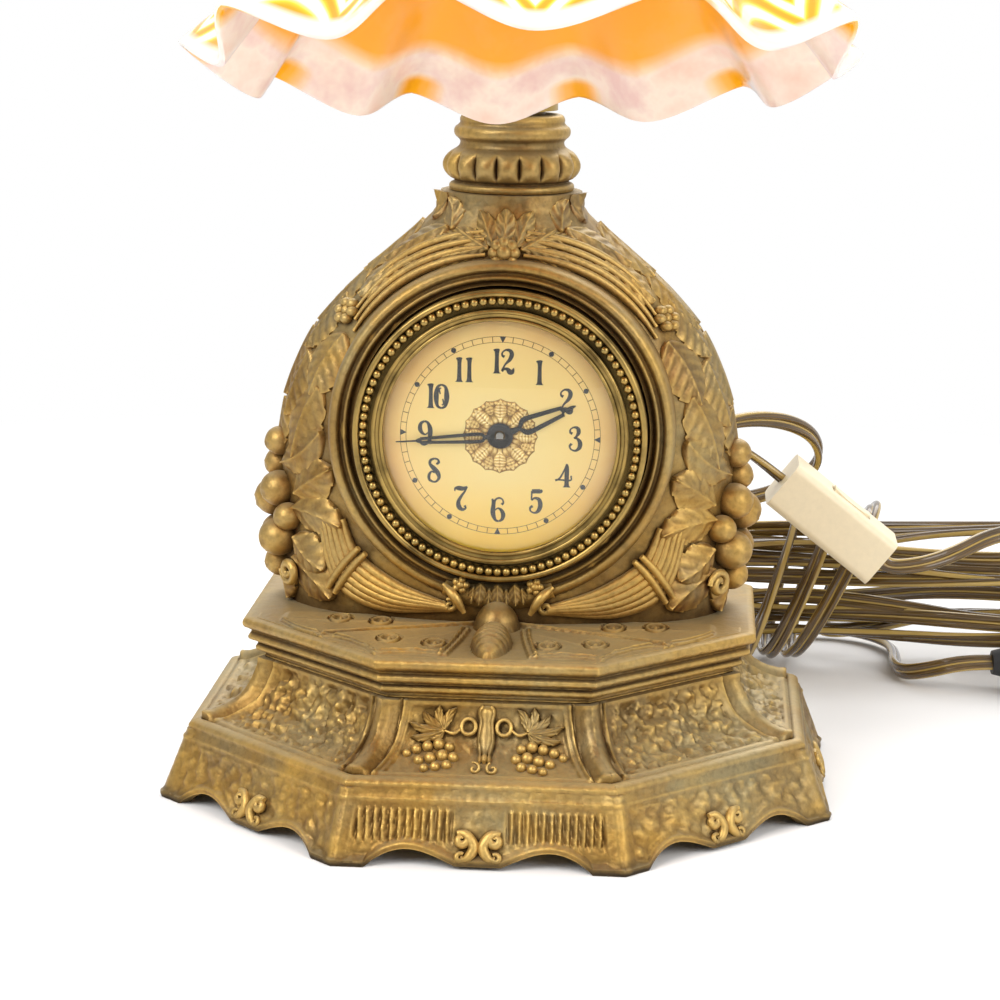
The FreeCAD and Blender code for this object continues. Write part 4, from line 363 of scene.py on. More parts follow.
# Clear gold vinyl: see-through twin cord over stranded copper, which shows as bright and dark
# olive gold with a wet gloss.
def gold_vinyl(tones):
    made, tree, shader, _ = material("gold_vinyl")
    along = add(tree, "UVMap", uv_map="along")
    part = add(tree, "SeparateXYZ", {"Vector": along})
    round_it = add(tree, "Math", {0: part.outputs["X"], 1: math.pi}, operation="MULTIPLY")
    wave = add(tree, "Math", {0: round_it}, operation="COSINE")
    web = add(tree, "Math", {0: wave}, operation="ABSOLUTE")
    stretched = add(tree, "Mapping", {"Vector": along, "Scale": (7.0, 0.5, 1.0)})
    wires = add(tree, "TexNoise", {"Vector": stretched, "Scale": 2.0, "Detail": 3.0})
    copper = add(tree, "ValToRGB", {"Fac": wires}, [
        (0.30, linear("#2f200c")), (0.50, linear("#54401d")), (0.72, tones.vinyl)])
    clear = add(tree, "ValToRGB", {"Fac": web}, [(0.90, grey(0.0)), (0.99, grey(0.9))])
    final = add(tree, "MixRGB", {"Fac": clear, "Color1": copper,
                                 "Color2": linear("#bc9e54")})
    dress(tree, shader, Base_Color=final, Roughness=0.2, IOR=1.52, Coat_Weight=0.3)
    return made


CORD_ROUTE_LEAD = (
    (0.034, 0.031, 0.072), (0.034, 0.043, 0.072), (0.037, 0.056, 0.075), (0.046, 0.068, 0.0825),
    (0.057, 0.079, 0.0875), (0.069, 0.090, 0.089), (0.0815, 0.101, 0.0865), (0.091, 0.1125, 0.080),
    (0.0935, 0.122, 0.070), (0.086, 0.1265, 0.0618), (0.0735, 0.1245, 0.057), (0.0615, 0.118, 0.0565),
    (0.0535, 0.1085, 0.059), (0.052, 0.100, 0.067), (0.057, 0.095, 0.0755), (0.066, 0.0935, 0.0795),
    (0.0731, 0.0935, 0.07486), (0.08024, 0.0935, 0.06931),
)
CORD_ROUTE_TAIL = (
    (0.070, 0.1425, 0.0029), (0.0745, 0.1545, 0.0029), (0.085, 0.1635, 0.0029), (0.0985, 0.1665, 0.0029),
    (0.1115, 0.1615, 0.0029), (0.1195, 0.150, 0.0029), (0.121, 0.136, 0.0029), (0.1195, 0.1225, 0.0029),
    (0.1215, 0.110, 0.0034), (0.1295, 0.101, 0.007), (0.14005, 0.09906, 0.0104), (0.149, 0.100, 0.0104),
)
SWITCH_CENTRE = Vector((0.096, 0.0935, 0.057))
SWITCH_WAY = Vector((math.cos(math.radians(38)), 0, -math.sin(math.radians(38))))
SWITCH_HALF = 0.020
HANK_LEAD_IN = (0.131, 0.095, 0.044)
HANK_LOOPS, HANK_START, HANK_NODES = 6.42, 0.34, 16
WRAP_TURNS, WRAP_NODES = 2.9, 12
WRAP_RADIUS = 0.0255
HANK_CENTRE_X, HANK_AXIS_Y, HANK_HEIGHT = 0.112, 0.132, 0.0284


def hank_point(u):
    """A point of the hank's loops, which are drawn in at the wraps and differ in length."""
    turn = TURN * u
    middle = HANK_START + HANK_LOOPS / 2
    half_length = 0.070 + 0.006 * math.sin(2.1 * u)
    x = -half_length * math.cos(turn)
    dip = math.exp(-(((x + HANK_CENTRE_X - 0.091) / 0.034) ** 4))
    width = 0.017 - (0.017 - 0.0055) * dip
    y = -width * math.tanh(2 * math.sin(turn)) / math.tanh(2)
    aside = 0.0022 * (1 - dip) * math.cos(1.37 * turn)
    above = 0.0046 * (1 - dip) * math.sin(0.62 * turn + 0.8)
    return (HANK_CENTRE_X + x, HANK_AXIS_Y + y + aside, HANK_HEIGHT + 0.0058 * (middle - u) + above)


def wrap_point(v):
    """A point of the turns that bind the hank; v runs down to 0 at the floor."""
    turn = math.radians(-90 - 360 * v)
    rise = (1 + math.sin(turn)) / 2
    foot = 0.070 + 0.0075 * v
    head = 0.082 + 0.012 * v
    return (foot + (head - foot) * rise, HANK_AXIS_Y + WRAP_RADIUS * math.cos(turn),
            HANK_HEIGHT + WRAP_RADIUS * math.sin(turn))


def cord_points():
    """The cord's own control points from the case to the plug, switch and hank among them."""
    inlet = SWITCH_CENTRE - SWITCH_WAY * SWITCH_HALF
    outlet = SWITCH_CENTRE + SWITCH_WAY * SWITCH_HALF
    points = list(CORD_ROUTE_LEAD[:-1])
    points += [tuple(inlet), tuple(SWITCH_CENTRE), tuple(outlet), tuple(outlet + SWITCH_WAY * 0.0052)]
    points.append(HANK_LEAD_IN)
    count = round(HANK_LOOPS * HANK_NODES)
    points += [hank_point(HANK_START + HANK_LOOPS * k / count) for k in range(count + 1)]
    count = round(WRAP_TURNS * WRAP_NODES)
    points += [wrap_point(WRAP_TURNS * (1 - k / count)) for k in range(count + 1)]
    return points + list(CORD_ROUTE_TAIL)


def spline_line(points, name):
    """The points that Blender gives for one open NURBS spline through a cord's control points."""
    clear_selection()
    curve = bpy.data.curves.new(name, "CURVE")
    curve.dimensions = "3D"
    spline = curve.splines.new("NURBS")
    spline.points.add(len(points) - 1)
    for point, at in zip(spline.points, points):
        point.co = (*at, 1.0)
    spline.order_u = 3
    spline.use_endpoint_u = True
    spline.resolution_u = 7
    holder = bpy.data.objects.new(name, curve)
    bpy.context.scene.collection.objects.link(holder)
    bpy.context.view_layer.update()
    line = bpy.data.meshes.new_from_object(holder)
    path = [vertex.co.copy() for vertex in line.vertices]
    bpy.data.meshes.remove(line)
    bpy.data.objects.remove(holder)
    bpy.data.curves.remove(curve)
    return path


def swept(path, section, twist_length=None, growth=None):
    """An array of rings of points in millimetres: a closed section carried along a path."""
    path = np.array(path) / mm
    way = np.gradient(path, axis=0)
    way /= np.linalg.norm(way, axis=1)[:, None]
    side = np.cross(way[0], (0.0, 0.0, 1.0))
    if np.linalg.norm(side) < 0.1:
        side = np.cross(way[0], (1.0, 0.0, 0.0))
    run = np.concatenate([[0], np.cumsum(np.linalg.norm(np.diff(path, axis=0), axis=1))])
    rings = []
    for k in range(len(path)):
        side = side - way[k] * side.dot(way[k])
        side /= np.linalg.norm(side)
        up = np.cross(side, way[k])
        turn = TURN * run[k] / twist_length if twist_length else 0.0
        across = side * math.cos(turn) + up * math.sin(turn)
        over = np.cross(across, way[k])
        scale = growth[k] if growth is not None else 1.0
        rings.append(path[k] + scale * (section[:, :1] * across + section[:, 1:] * over))
    rings = np.array(rings)
    return np.concatenate([rings, rings[:, :1]], axis=1)


def twin_section(width):
    """The cord's section: two round cores side by side with a thin web."""
    core = width / 4
    shape = []
    for k in range(13):
        turn = math.radians(-150 + 300 * k / 12)
        shape.append((core + core * math.cos(turn), core * math.sin(turn)))
    for k in range(13):
        turn = math.radians(30 + 300 * k / 12)
        shape.append((-core + core * math.cos(turn), core * math.sin(turn)))
    return np.array(shape)


def capped(rings):
    """A tube's rings of points with its ends drawn to their middles."""
    ends = [np.repeat(rings[k].mean(0)[None], rings.shape[1], axis=0)[None] for k in (0, -1)]
    return np.concatenate([ends[0], rings, ends[1]])


class CLAMP_OT_cord(bpy.types.Operator):
    """Lay the twin cord from the case through the switch and the hank to the plug"""
    bl_idname = "clock_lamp.cord"
    bl_label = "Cord"

    def execute(self, context):
        sizes = context.scene.clock_lamp_sizes
        tones = context.scene.clock_lamp_colours
        path = spline_line(cord_points(), "cord_line")
        width = sizes.cord_width / mm
        rings = swept(path, twin_section(width), twist_length=330.0)
        cord = grid(capped(rings))
        layer = cord.data.uv_layers.get("UVMap")
        layer.name = "along"
        length = sum((b - a).length for a, b in zip(path, path[1:]))
        values = np.empty(len(cord.data.loops) * 2)
        layer.data.foreach_get("uv", values)
        values = values.reshape(-1, 2)
        section = twin_section(width)
        across = np.append(section[:, 0], section[0, 0]) / (width / 2)
        column = np.rint(values[:, 0] * len(section)).astype(int)
        values = np.stack([across[column], values[:, 1] * length * 60], 1)
        layer.data.foreach_set("uv", values.ravel())
        finish(cord, "twin_cord", gold_vinyl(tones), "base", weld=0.00001)
        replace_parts(cord, "cord_lead", "cord_hank", "cord_tail")
        sleeve_path = path[:max(k for k, at in enumerate(path) if (at - path[0]).length < 0.020)]
        run = np.linspace(0, 1, len(sleeve_path))
        ring = np.array([(math.cos(TURN * k / 20), math.sin(TURN * k / 20)) for k in range(20)])
        growth = (4.5 - 1.5 * run) * (1 - 0.06 * (np.sin(run * 40) > 0))
        relief = grid(capped(swept(sleeve_path, ring, growth=growth)))
        finish(relief, "strain_relief", moulded("black_rubber_sleeve", tones.rubber, 0.6), "base",
               weld=0.00001)
        return {"FINISHED"}


CAMERA_AT = (-0.001924, -0.803595, 0.243121)
CAMERA_YAW, CAMERA_PITCH, CAMERA_ROLL = -3.9365, 11.538, 0.85594
CAMERA_LENS, CAMERA_SENSOR = 104.134, 36.0
LIGHTS = (
    ("key_light", (-0.75, -0.95, 1.05), 0.9, 18.0),
    ("fill_light", (0.95, -0.8, 0.7), 0.8, 9.0),
    ("back_light", (0.2, 1.0, 1.0), 0.9, 7.0),
)
LIGHTS_AIM = Vector((0, 0, 0.12))


class CLAMP_OT_stage(bpy.types.Operator):
    """Set up the pale floor, the soft studio light and the camera"""
    bl_idname = "clock_lamp.stage"
    bl_label = "Stage"

    def execute(self, context):
        scene = context.scene
        scene.view_settings.view_transform = "Standard"
        clear_selection()
        bpy.ops.mesh.primitive_plane_add(size=12)
        floor = bpy.context.object
        floor.name = "floor"
        made, tree, shader, place = material("matt_paper")
        dress(tree, shader, Base_Color=linear("#f6f5f4"), Roughness=0.9, Specular_IOR_Level=0.2)
        reach = add(tree, "VectorMath", {0: place}, operation="LENGTH")
        away = add(tree, "MapRange", {"Value": reach.outputs["Value"], "From Min": 0.22, "From Max": 0.60})
        rays = add(tree, "LightPath")
        seen = add(tree, "Math", {0: rays.outputs["Is Camera Ray"], 1: rays.outputs["Is Glossy Ray"]},
                   operation="MAXIMUM")
        shown = add(tree, "Math", {0: seen, 1: rays.outputs["Is Transmission Ray"]},
                    operation="MAXIMUM")
        share = add(tree, "Math", {0: away, 1: shown}, operation="MULTIPLY")
        white = add(tree, "Emission", {"Color": linear("#ffffff"), "Strength": 1.0})
        both = add(tree, "MixShader", {"Fac": share, 1: shader,
                                       2: white})
        tree.links.new(both.outputs["Shader"], tree.nodes["Material Output"].inputs["Surface"])
        floor.data.materials.append(made)
        world = bpy.data.worlds.new("studio")
        scene.world = world
        world.use_nodes = True
        sky = world.node_tree
        back = sky.nodes["Background"]
        rays = add(sky, "LightPath")
        shown = add(sky, "Math", {0: rays.outputs["Is Camera Ray"], 1: rays.outputs["Is Transmission Ray"]},
                    operation="MAXIMUM")
        facing = add(sky, "TexCoord")
        way = add(sky, "VectorMath", {0: facing.outputs["Generated"], 1: (0.25, 0.75, 0.65)},
                  operation="DOT_PRODUCT")
        soft = add(sky, "MapRange", {"Value": way.outputs["Value"], "From Min": -0.7, "From Max": 0.9,
                                     "To Min": 0.24, "To Max": 1.05})
        strength = add(sky, "Mix", {0: shown, 2: soft, 3: 1.0})
        dress(sky, back, Color=linear("#ffffff"), Strength=strength)
        for name, at, width, power in LIGHTS:
            lamp = bpy.data.lights.new(name, "AREA")
            lamp.size = width
            lamp.energy = power
            holder = bpy.data.objects.new(name, lamp)
            scene.collection.objects.link(holder)
            holder.location = at
            aim = LIGHTS_AIM - Vector(at)
            holder.rotation_euler = aim.to_track_quat("-Z", "Y").to_euler()
        yaw, pitch, roll = (math.radians(a) for a in (CAMERA_YAW, CAMERA_PITCH, CAMERA_ROLL))
        back_turn = Matrix.Rotation(-yaw, 3, "Z")
        ahead = back_turn @ Vector((0, math.cos(pitch), -math.sin(pitch)))
        up = back_turn @ Vector((0, math.sin(pitch), math.cos(pitch)))
        right = back_turn @ Vector((1, 0, 0))
        lens = bpy.data.cameras.new("camera")
        lens.sensor_width = CAMERA_SENSOR
        lens.lens = CAMERA_LENS
        camera = bpy.data.objects.new("camera", lens)
        scene.collection.objects.link(camera)
        across = math.cos(roll) * right + math.sin(roll) * up
        over = math.cos(roll) * up - math.sin(roll) * right
        turn = Matrix((across, over, -ahead)).transposed().to_4x4()
        camera.matrix_world = Matrix.Translation(back_turn @ Vector(CAMERA_AT)) @ turn
        scene.camera = camera
        return {"FINISHED"}


LEDGE_EDGE = (
    (69.0, 50.0), (70.6, 49.6), (71.1, 48.4), (70.7, 47.2), (69.4, 46.6), (68.5, 46.1), (68.4, 45.5),
    (69.3, 45.0), (69.6, 44.2), (69.1, 43.4), (67.6, 43.1), (66.7, 42.7), (66.6, 42.1), (67.4, 41.7),
    (67.6, 40.9), (67.0, 40.2), (65.7, 39.9), (64.9, 39.6), (64.8, 38.9), (65.2, 38.5), (64.6, 38.0),
)
SHOULDER = ((81.8, 21.5), (82.4, 21.9), (83.6, 21.7), (84.8, 21.0), (85.3, 20.2), (85.1, 19.4))
LEDGE = 50.0
COVE_TOP, COVE_FOOT, COVE_SAG = (64.6, 38.0), (81.8, 21.5), 4.2
COVE_RUN, COVE_RISE = COVE_FOOT[0] - COVE_TOP[0], COVE_TOP[1] - COVE_FOOT[1]
COVE_CHORD = math.hypot(COVE_RUN, COVE_RISE)
FOOT, SKIRT_TOP, SKIRT_LEAN = 92.4, 19.4, 7.3
# Columns of points on each side of the plinth, starting with the front, which has the finest ornament
PLINTH_COLUMNS = (190, 96, 48, 26, 22, 26, 48, 96)
CASE_HEIGHT, CASE_HALF_WIDTH, CASE_HALF_DEPTH = 117, 63, 30
CASE_LEVELS = LEDGE + CASE_HEIGHT * np.array(
    (0.0, 0.11, 0.23, 0.41, 0.50, 0.58, 0.667, 0.752, 0.846, 0.919, 0.966, 1.0))
CASE_WIDTHS = CASE_HALF_WIDTH * np.array(
    (0.97, 0.995, 1.0, 1.0, 0.976, 0.929, 0.849, 0.722, 0.532, 0.381, 0.310, 0.302))
CASE_DEPTHS = CASE_HALF_DEPTH * np.array(
    (1.0, 1.0, 1.0, 1.0, 1.0, 0.99, 0.97, 0.93, 0.85, 0.73, 0.650, 0.633))
DIAL_HEIGHT = 103.2
DIAL_FRONT, FIGURE_HEIGHT, FIGURE_CIRCLE, TRACK_WIDTH, PRINT_TILT = 31.03, 6.5, 20.3, 1.55, 0.8
ROSETTE_BACK, ROSETTE_RELIEF = 31.04, 0.52
BEADS, BEAD_FRONT = 96, 34.1
HOUR_ANGLE, MINUTE_ANGLE = 66.5, 265.6
RIGHT_AND_LEFT = (1, -1)


def eased(points):
    """A line with its corners cut once, for a soft cast moulding."""
    points = np.array(points)
    first, last = points[:1], points[-1:]
    cut = np.stack([0.75 * points[:-1] + 0.25 * points[1:], 0.25 * points[:-1] + 0.75 * points[1:]], 1)
    return np.concatenate([first, cut.reshape(-1, 2)[1:-1], last])


def flow(at, places, values):
    """A smooth line through given values, read at any places."""
    slope = np.gradient(values, places)
    k = np.clip(np.searchsorted(places, at) - 1, 0, len(places) - 2)
    gap = places[k + 1] - places[k]
    t = np.clip((at - places[k]) / gap, 0, 1)
    return ((2 * t ** 3 - 3 * t ** 2 + 1) * values[k] + (t ** 3 - 2 * t ** 2 + t) * gap * slope[k]
            + (3 * t ** 2 - 2 * t ** 3) * values[k + 1] + (t ** 3 - t ** 2) * gap * slope[k + 1])


def bell(value, width):
    """1 where the value is 0, falling softly to 0 over a width."""
    return np.exp(-(value / width) ** 2)


def ease(value, width):
    """0 below 0, 1 above a width, and a straight line between."""
    return np.clip(value / width, 0, 1)


def bumps(points, cell, seed=0.0):
    """A hammered surface: rounded knobs of about a cell's size, from 0 to 1."""
    flat = points.reshape(-1, 3) / cell + seed
    found = [noise.voronoi(Vector(p))[0] for p in flat]
    return np.array([1 - min(1.0, f[0] * 1.3) for f in found]).reshape(points.shape[:2])


def clouds(points, cell, seed=0.0):
    """Soft unevenness of about a cell's size, from -1 to 1."""
    flat = points.reshape(-1, 3) / cell + seed
    return np.array([noise.noise(Vector(p)) for p in flat]).reshape(points.shape[:2])


def scallop(x):
    """The height of the skirt's lower edge at a distance from the side's middle."""
    x = np.abs(x)
    share = ease(x - 6.0, 23.7)
    arch = 1.0 * (1 - share) + 4.4 * np.sin(math.pi * share ** 1.25) ** 0.8
    return np.where(x > 29.7, 0.0, np.where(x < 6.0, 1.0, arch))


def cove_line(share):
    """Distance from the axis, and height, at a share of the way down the plinth's hollow moulding."""
    sag = COVE_SAG * np.sin(math.pi * share)
    return (COVE_TOP[0] + COVE_RUN * share - sag * COVE_RISE / COVE_CHORD,
            COVE_TOP[1] - COVE_RISE * share - sag * COVE_RUN / COVE_CHORD)


def plinth_side(side, columns, relief):
    """One side of the plinth from the ledge's hole down to the foot and up its hollow, as an array."""
    across = np.linspace(-1, 1, columns)
    ledge = np.stack([np.linspace(24, 68.6, 16), np.full(16, LEDGE)], 1)
    edge = eased(LEDGE_EDGE)
    drop = np.linspace(0, 1, 44)[1:-1]
    cove = np.stack(cove_line(drop), 1)
    shoulder = eased(SHOULDER)
    fall = np.linspace(0, 1, 42)[1:]
    inside = np.array(((82.6, 16.5), (61.2, 30.0), (61.2, 47.0), (24.0, 47.0), (24.0, 50.0)))
    upper = np.concatenate([ledge, edge, cove, shoulder])
    rows = len(upper) + len(fall) + 1 + len(inside)
    far = np.zeros((rows, columns))
    high = np.zeros((rows, columns))
    far[:len(upper)] = upper[:, :1]
    high[:len(upper)] = upper[:, 1:]
    low = scallop(across * FOOT * SIDE)
    start = len(upper)
    stop = start + len(fall)
    high[start:stop] = SKIRT_TOP + (low - SKIRT_TOP) * fall[:, None]
    far[start:stop] = FOOT - SKIRT_LEAN * high[start:stop] / SKIRT_TOP
    high[stop] = low
    far[stop] = FOOT - 3.0
    far[stop + 1:] = inside[:, :1]
    high[stop + 1:] = inside[:, 1:]
    raised = np.zeros((rows, columns))
    lateral = across * far * SIDE
    corner = far * SIDE - np.abs(lateral)
    place = np.stack([lateral, far, high + 40 * side], 2)

    # Hollow moulding: a rounded rib up each corner, a thin frame, and a rough field
    at = slice(len(ledge) + len(edge), len(ledge) + len(edge) + len(cove))
    near = corner[at]
    level = drop[:, None]
    frame_rows = bell(level - 0.03, 0.025) + bell(level - 0.95, 0.03)
    field = ease(near - 6.6, 0.8) * ease(level - 0.06, 0.04)
    field *= ease(0.93 - level, 0.04)
    rib = 1.9 * np.exp(-(near / 3.0) ** 4) + 0.75 * bell(near - 5.2, 0.55) - 0.35 * bell(near - 4.2, 0.4)
    rough = 0.7 * bumps(place[at], 1.5) + 1.3 * clouds(place[at], 2.6, 7.0) + 1.0 * clouds(place[at], 6.0)
    plain = 0.25 if side in (0, 4) else 1.0
    raised[at] = rib + 0.4 * frame_rows + field * (relief * plain * rough - 0.75)

    # Skirt: borders, a bead along the scalloped edge, and flutes or a rough field
    at = slice(start, stop)
    above = high[at] - low
    border = ease(corner[at] - 3.4, 0.7) * ease(16.0 - high[at], 0.8)
    border *= ease(above - 2.3, 0.8)
    flutes = 0.45 * np.cos(TURN * lateral[at] / 2.1) * ease(np.abs(lateral[at]) - 6.2, 1.2)
    flutes *= ease(15.4 - high[at], 1.5) * ease(high[at] - 5.8, 1.5)
    rough = relief * (0.3 * bumps(place[at], 1.4, 9.0) + 0.9 * clouds(place[at], 3.0, 4.0) + 0.4)
    surface = flutes + 0.25 * rough if side in (0, 4) else rough
    raised[at] = 0.7 * bell(above - 1.2, 0.7) + border * (surface - 0.7) + 0.35 * bell(high[at] - 16.8, 0.5)
    raised[at] += 0.5 * bell(corner[at] - 1.3, 1.2)
    raised[:stop] += 0.10 * clouds(place[:stop], 1.6, 2.0)
    raised[stop - 1] = np.minimum(raised[stop - 1], 0.0)

    out = np.gradient(high, axis=0)
    up = -np.gradient(far, axis=0)
    length = np.hypot(out, up) + 1e-9
    far = far - raised * out / length
    high = high - raised * up / length
    turned = math.radians(45 * side)
    lateral = across * far * SIDE
    return np.stack([far * math.sin(turned) + lateral * math.cos(turned),
                     -far * math.cos(turned) + lateral * math.sin(turned), high], 2)


def case_size(z):
    """Half width and half depth of the case's elliptical section at a height."""
    return flow(z, CASE_LEVELS, CASE_WIDTHS), flow(z, CASE_LEVELS, CASE_DEPTHS)


def case_at(turn, z):
    """The place on the case's body at an angle from the front, to the right, and a height."""
    turn = np.radians(turn)
    wide, deep = case_size(np.asarray(z, float))
    return np.stack([wide * np.sin(turn), -deep * np.cos(turn), z + 0 * turn], -1)


def case_front(x, z):
    """The place on the front of the case's body at a distance across and a height."""
    wide, deep = case_size(np.float64(z))
    return x, -deep * math.sqrt(max(0.05, 1 - (x / wide) ** 2)), z


def case_surface(points):
    """Places on the case's body near given points, and the outward directions there."""
    z = np.clip(points[..., 2], 50.2, 166.8)
    wide, deep = case_size(z)
    turn = np.degrees(np.arctan2(points[..., 0] / wide, -points[..., 1] / deep))
    place = case_at(turn, z)
    along = case_at(turn + 0.5, z) - place
    upward = case_at(turn, z + 0.2) - place
    out = np.cross(along, upward)
    return place, out / np.linalg.norm(out, axis=-1)[..., None]


def cove_surface(points):
    """Places in the front hollow moulding; points give a distance across and a share down it."""
    share = np.clip(points[..., 2], 0, 1)
    far, high = cove_line(share)
    slope = COVE_SAG * math.pi * np.cos(math.pi * share) / COVE_CHORD
    out = np.stack([0 * share, -COVE_RISE - slope * COVE_RUN, COVE_RUN - slope * COVE_RISE], -1)
    out /= np.linalg.norm(out, axis=-1)[..., None]
    return np.stack([points[..., 0], -far, high], -1), out


def leaf(surface, base, tip, width, rise, lobes=5, bend=0.0, lift=0.0, teeth=0.13, unit=1.0):
    """A carved leaf with toothed edges and raised veins that lies on a surface."""
    base, tip = np.array(base, float), np.array(tip, float)
    middle, out = surface((base + tip) / 2)
    along = tip - base
    length = np.linalg.norm(along)
    along /= length
    if surface is cove_surface:
        out = np.array((0.0, -1.0, 0.0))
    across = np.cross(along, out)
    across /= np.linalg.norm(across)
    run = np.linspace(0, 1, 12 + 6 * lobes)[:, None]
    side = np.array((-1, -0.97, -0.8, -0.6, -0.4, -0.22, -0.1, 0, 0.1, 0.22, 0.4, 0.6, 0.8, 0.97, 1))[None]
    saw = (run * lobes) % 1.0
    half = width / 2 * np.sin(math.pi * np.clip(run, 0.02, 0.985) ** 0.8) ** 0.75 * (1 - teeth * saw)
    lean = 0.10 * np.abs(side) * np.sin(math.pi * run)
    shift = bend * np.sin(math.pi * run) + 0 * side
    points = (base + along * length * (run + lean)[..., None]
              + across * (shift + side * half)[..., None])
    place, out = surface(points)
    veins = 0.2 * np.cos(TURN * (run * lobes - 0.9 * np.abs(side))) * np.clip(np.abs(side) * 3, 0, 1)
    crown = rise * (0.45 + 0.55 * (1 - side ** 2)) + lift * run ** 2 + 0 * side
    crown = crown + unit * (veins + 0.45 * bell(side * half / unit, 0.5))
    crown = np.where(np.abs(side) == 1, -0.8 * unit, crown)
    crown[0] = -0.8 * unit
    crown[-1] = -0.8 * unit
    return place + out * crown[..., None]


def ball(centre, radius, squash=1.0, dimple=None, rows=14, columns=20):
    """A round fruit or berry as an array; a dimple is the way that its eye faces."""
    fall = np.linspace(0, math.pi, rows)[:, None]
    turn = np.linspace(0, TURN, columns + 1)[None]
    shape = np.stack([np.sin(fall) * np.cos(turn), np.sin(fall) * np.sin(turn),
                      squash * np.cos(fall) + 0 * turn], 2)
    if dimple is not None:
        facing = shape @ (np.array(dimple) / np.linalg.norm(dimple))
        shape = shape * (1 - 0.14 * np.exp(-((1 - facing) / 0.02))
                         + 0.05 * np.exp(-((1 - facing - 0.05) / 0.03) ** 2))[..., None]
    return np.array(centre) + radius * shape


def smooth_route(points, count):
    """Points along a smooth line through given ones."""
    points = np.array(points, float)
    places = np.arange(len(points), dtype=float)
    at = np.linspace(0, len(points) - 1, count)
    return np.stack([flow(at, places, points[:, k]) for k in range(points.shape[1])], 1)


def strand(route, radius, surface=None, raise_by=0.0, taper=0.6, count=26, sides=10):
    """A tapered reed or stem as an array of rings; it may lie on a surface."""
    path = smooth_route(route, count)
    if surface is not None:
        place, out = surface(path)
        path = place + out * raise_by
    run = np.linspace(0, 1, count)
    ring = radius * np.array([(math.cos(TURN * k / sides), math.sin(TURN * k / sides)) for k in range(sides)])
    growth = 1 - taper * (1 - np.sin(math.pi * np.clip(run, 0.04, 0.96)) ** 0.7)
    return capped(swept(path * mm, ring, growth=growth))


def coil(centre, out, size, turns=1.4, radius=0.9, spin=1, start=0.0):
    """A small scroll that curls in towards its middle, flat against the casting."""
    out = np.array(out) / np.linalg.norm(out)
    side = np.cross(out, (0, 0, 1.0))
    side /= np.linalg.norm(side)
    up = np.cross(side, out)
    run = np.linspace(0, 1, 30)
    turn = start + spin * TURN * turns * run
    reach = size * (1 - 0.82 * run)
    route = (np.array(centre) + np.outer(reach * np.cos(turn), side) + np.outer(reach * np.sin(turn), up))
    return strand(route, radius, taper=0.5, count=30)


def moulded_piece(arrays, name, finish_name, smooth=60, body="base", weld=0.00002):
    """One piece from several arrays of points."""
    return finish(join([grid(points) for points in arrays]), name, MADE[finish_name], body, smooth,
                  weld)


def mirrored(points):
    """The same array on the other side of the lamp, still facing outwards."""
    return points[:, ::-1] * np.array((-1, 1, 1))


def turned(profile, columns, wave=None):
    """A section of (radius, distance in front) turned about the dial's axis, as an array."""
    profile = np.array(profile)
    turn = np.linspace(0, TURN, columns + 1)
    radius = profile[:, :1] + (wave(turn, profile[:, :1]) if wave else 0)
    return np.stack([radius * np.sin(turn), -profile[:, 1:] + 0 * turn,
                     DIAL_HEIGHT + radius * np.cos(turn)], 2)


class CLAMP_OT_plinth(bpy.types.Operator):
    """Cast the octagonal plinth with its mouldings, ribs, rough panels and scalloped foot"""
    bl_idname = "clock_lamp.plinth"
    bl_label = "Plinth"

    def execute(self, context):
        sizes = context.scene.clock_lamp_sizes
        relief = sizes.relief / mm
        sides = [grid(plinth_side(k, count, relief)) for k, count in enumerate(PLINTH_COLUMNS)]
        plinth = finish(join(sides), "cast_plinth", MADE["gilt"], "base", 35, 0.00003)
        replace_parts(plinth, "plinth")
        return {"FINISHED"}


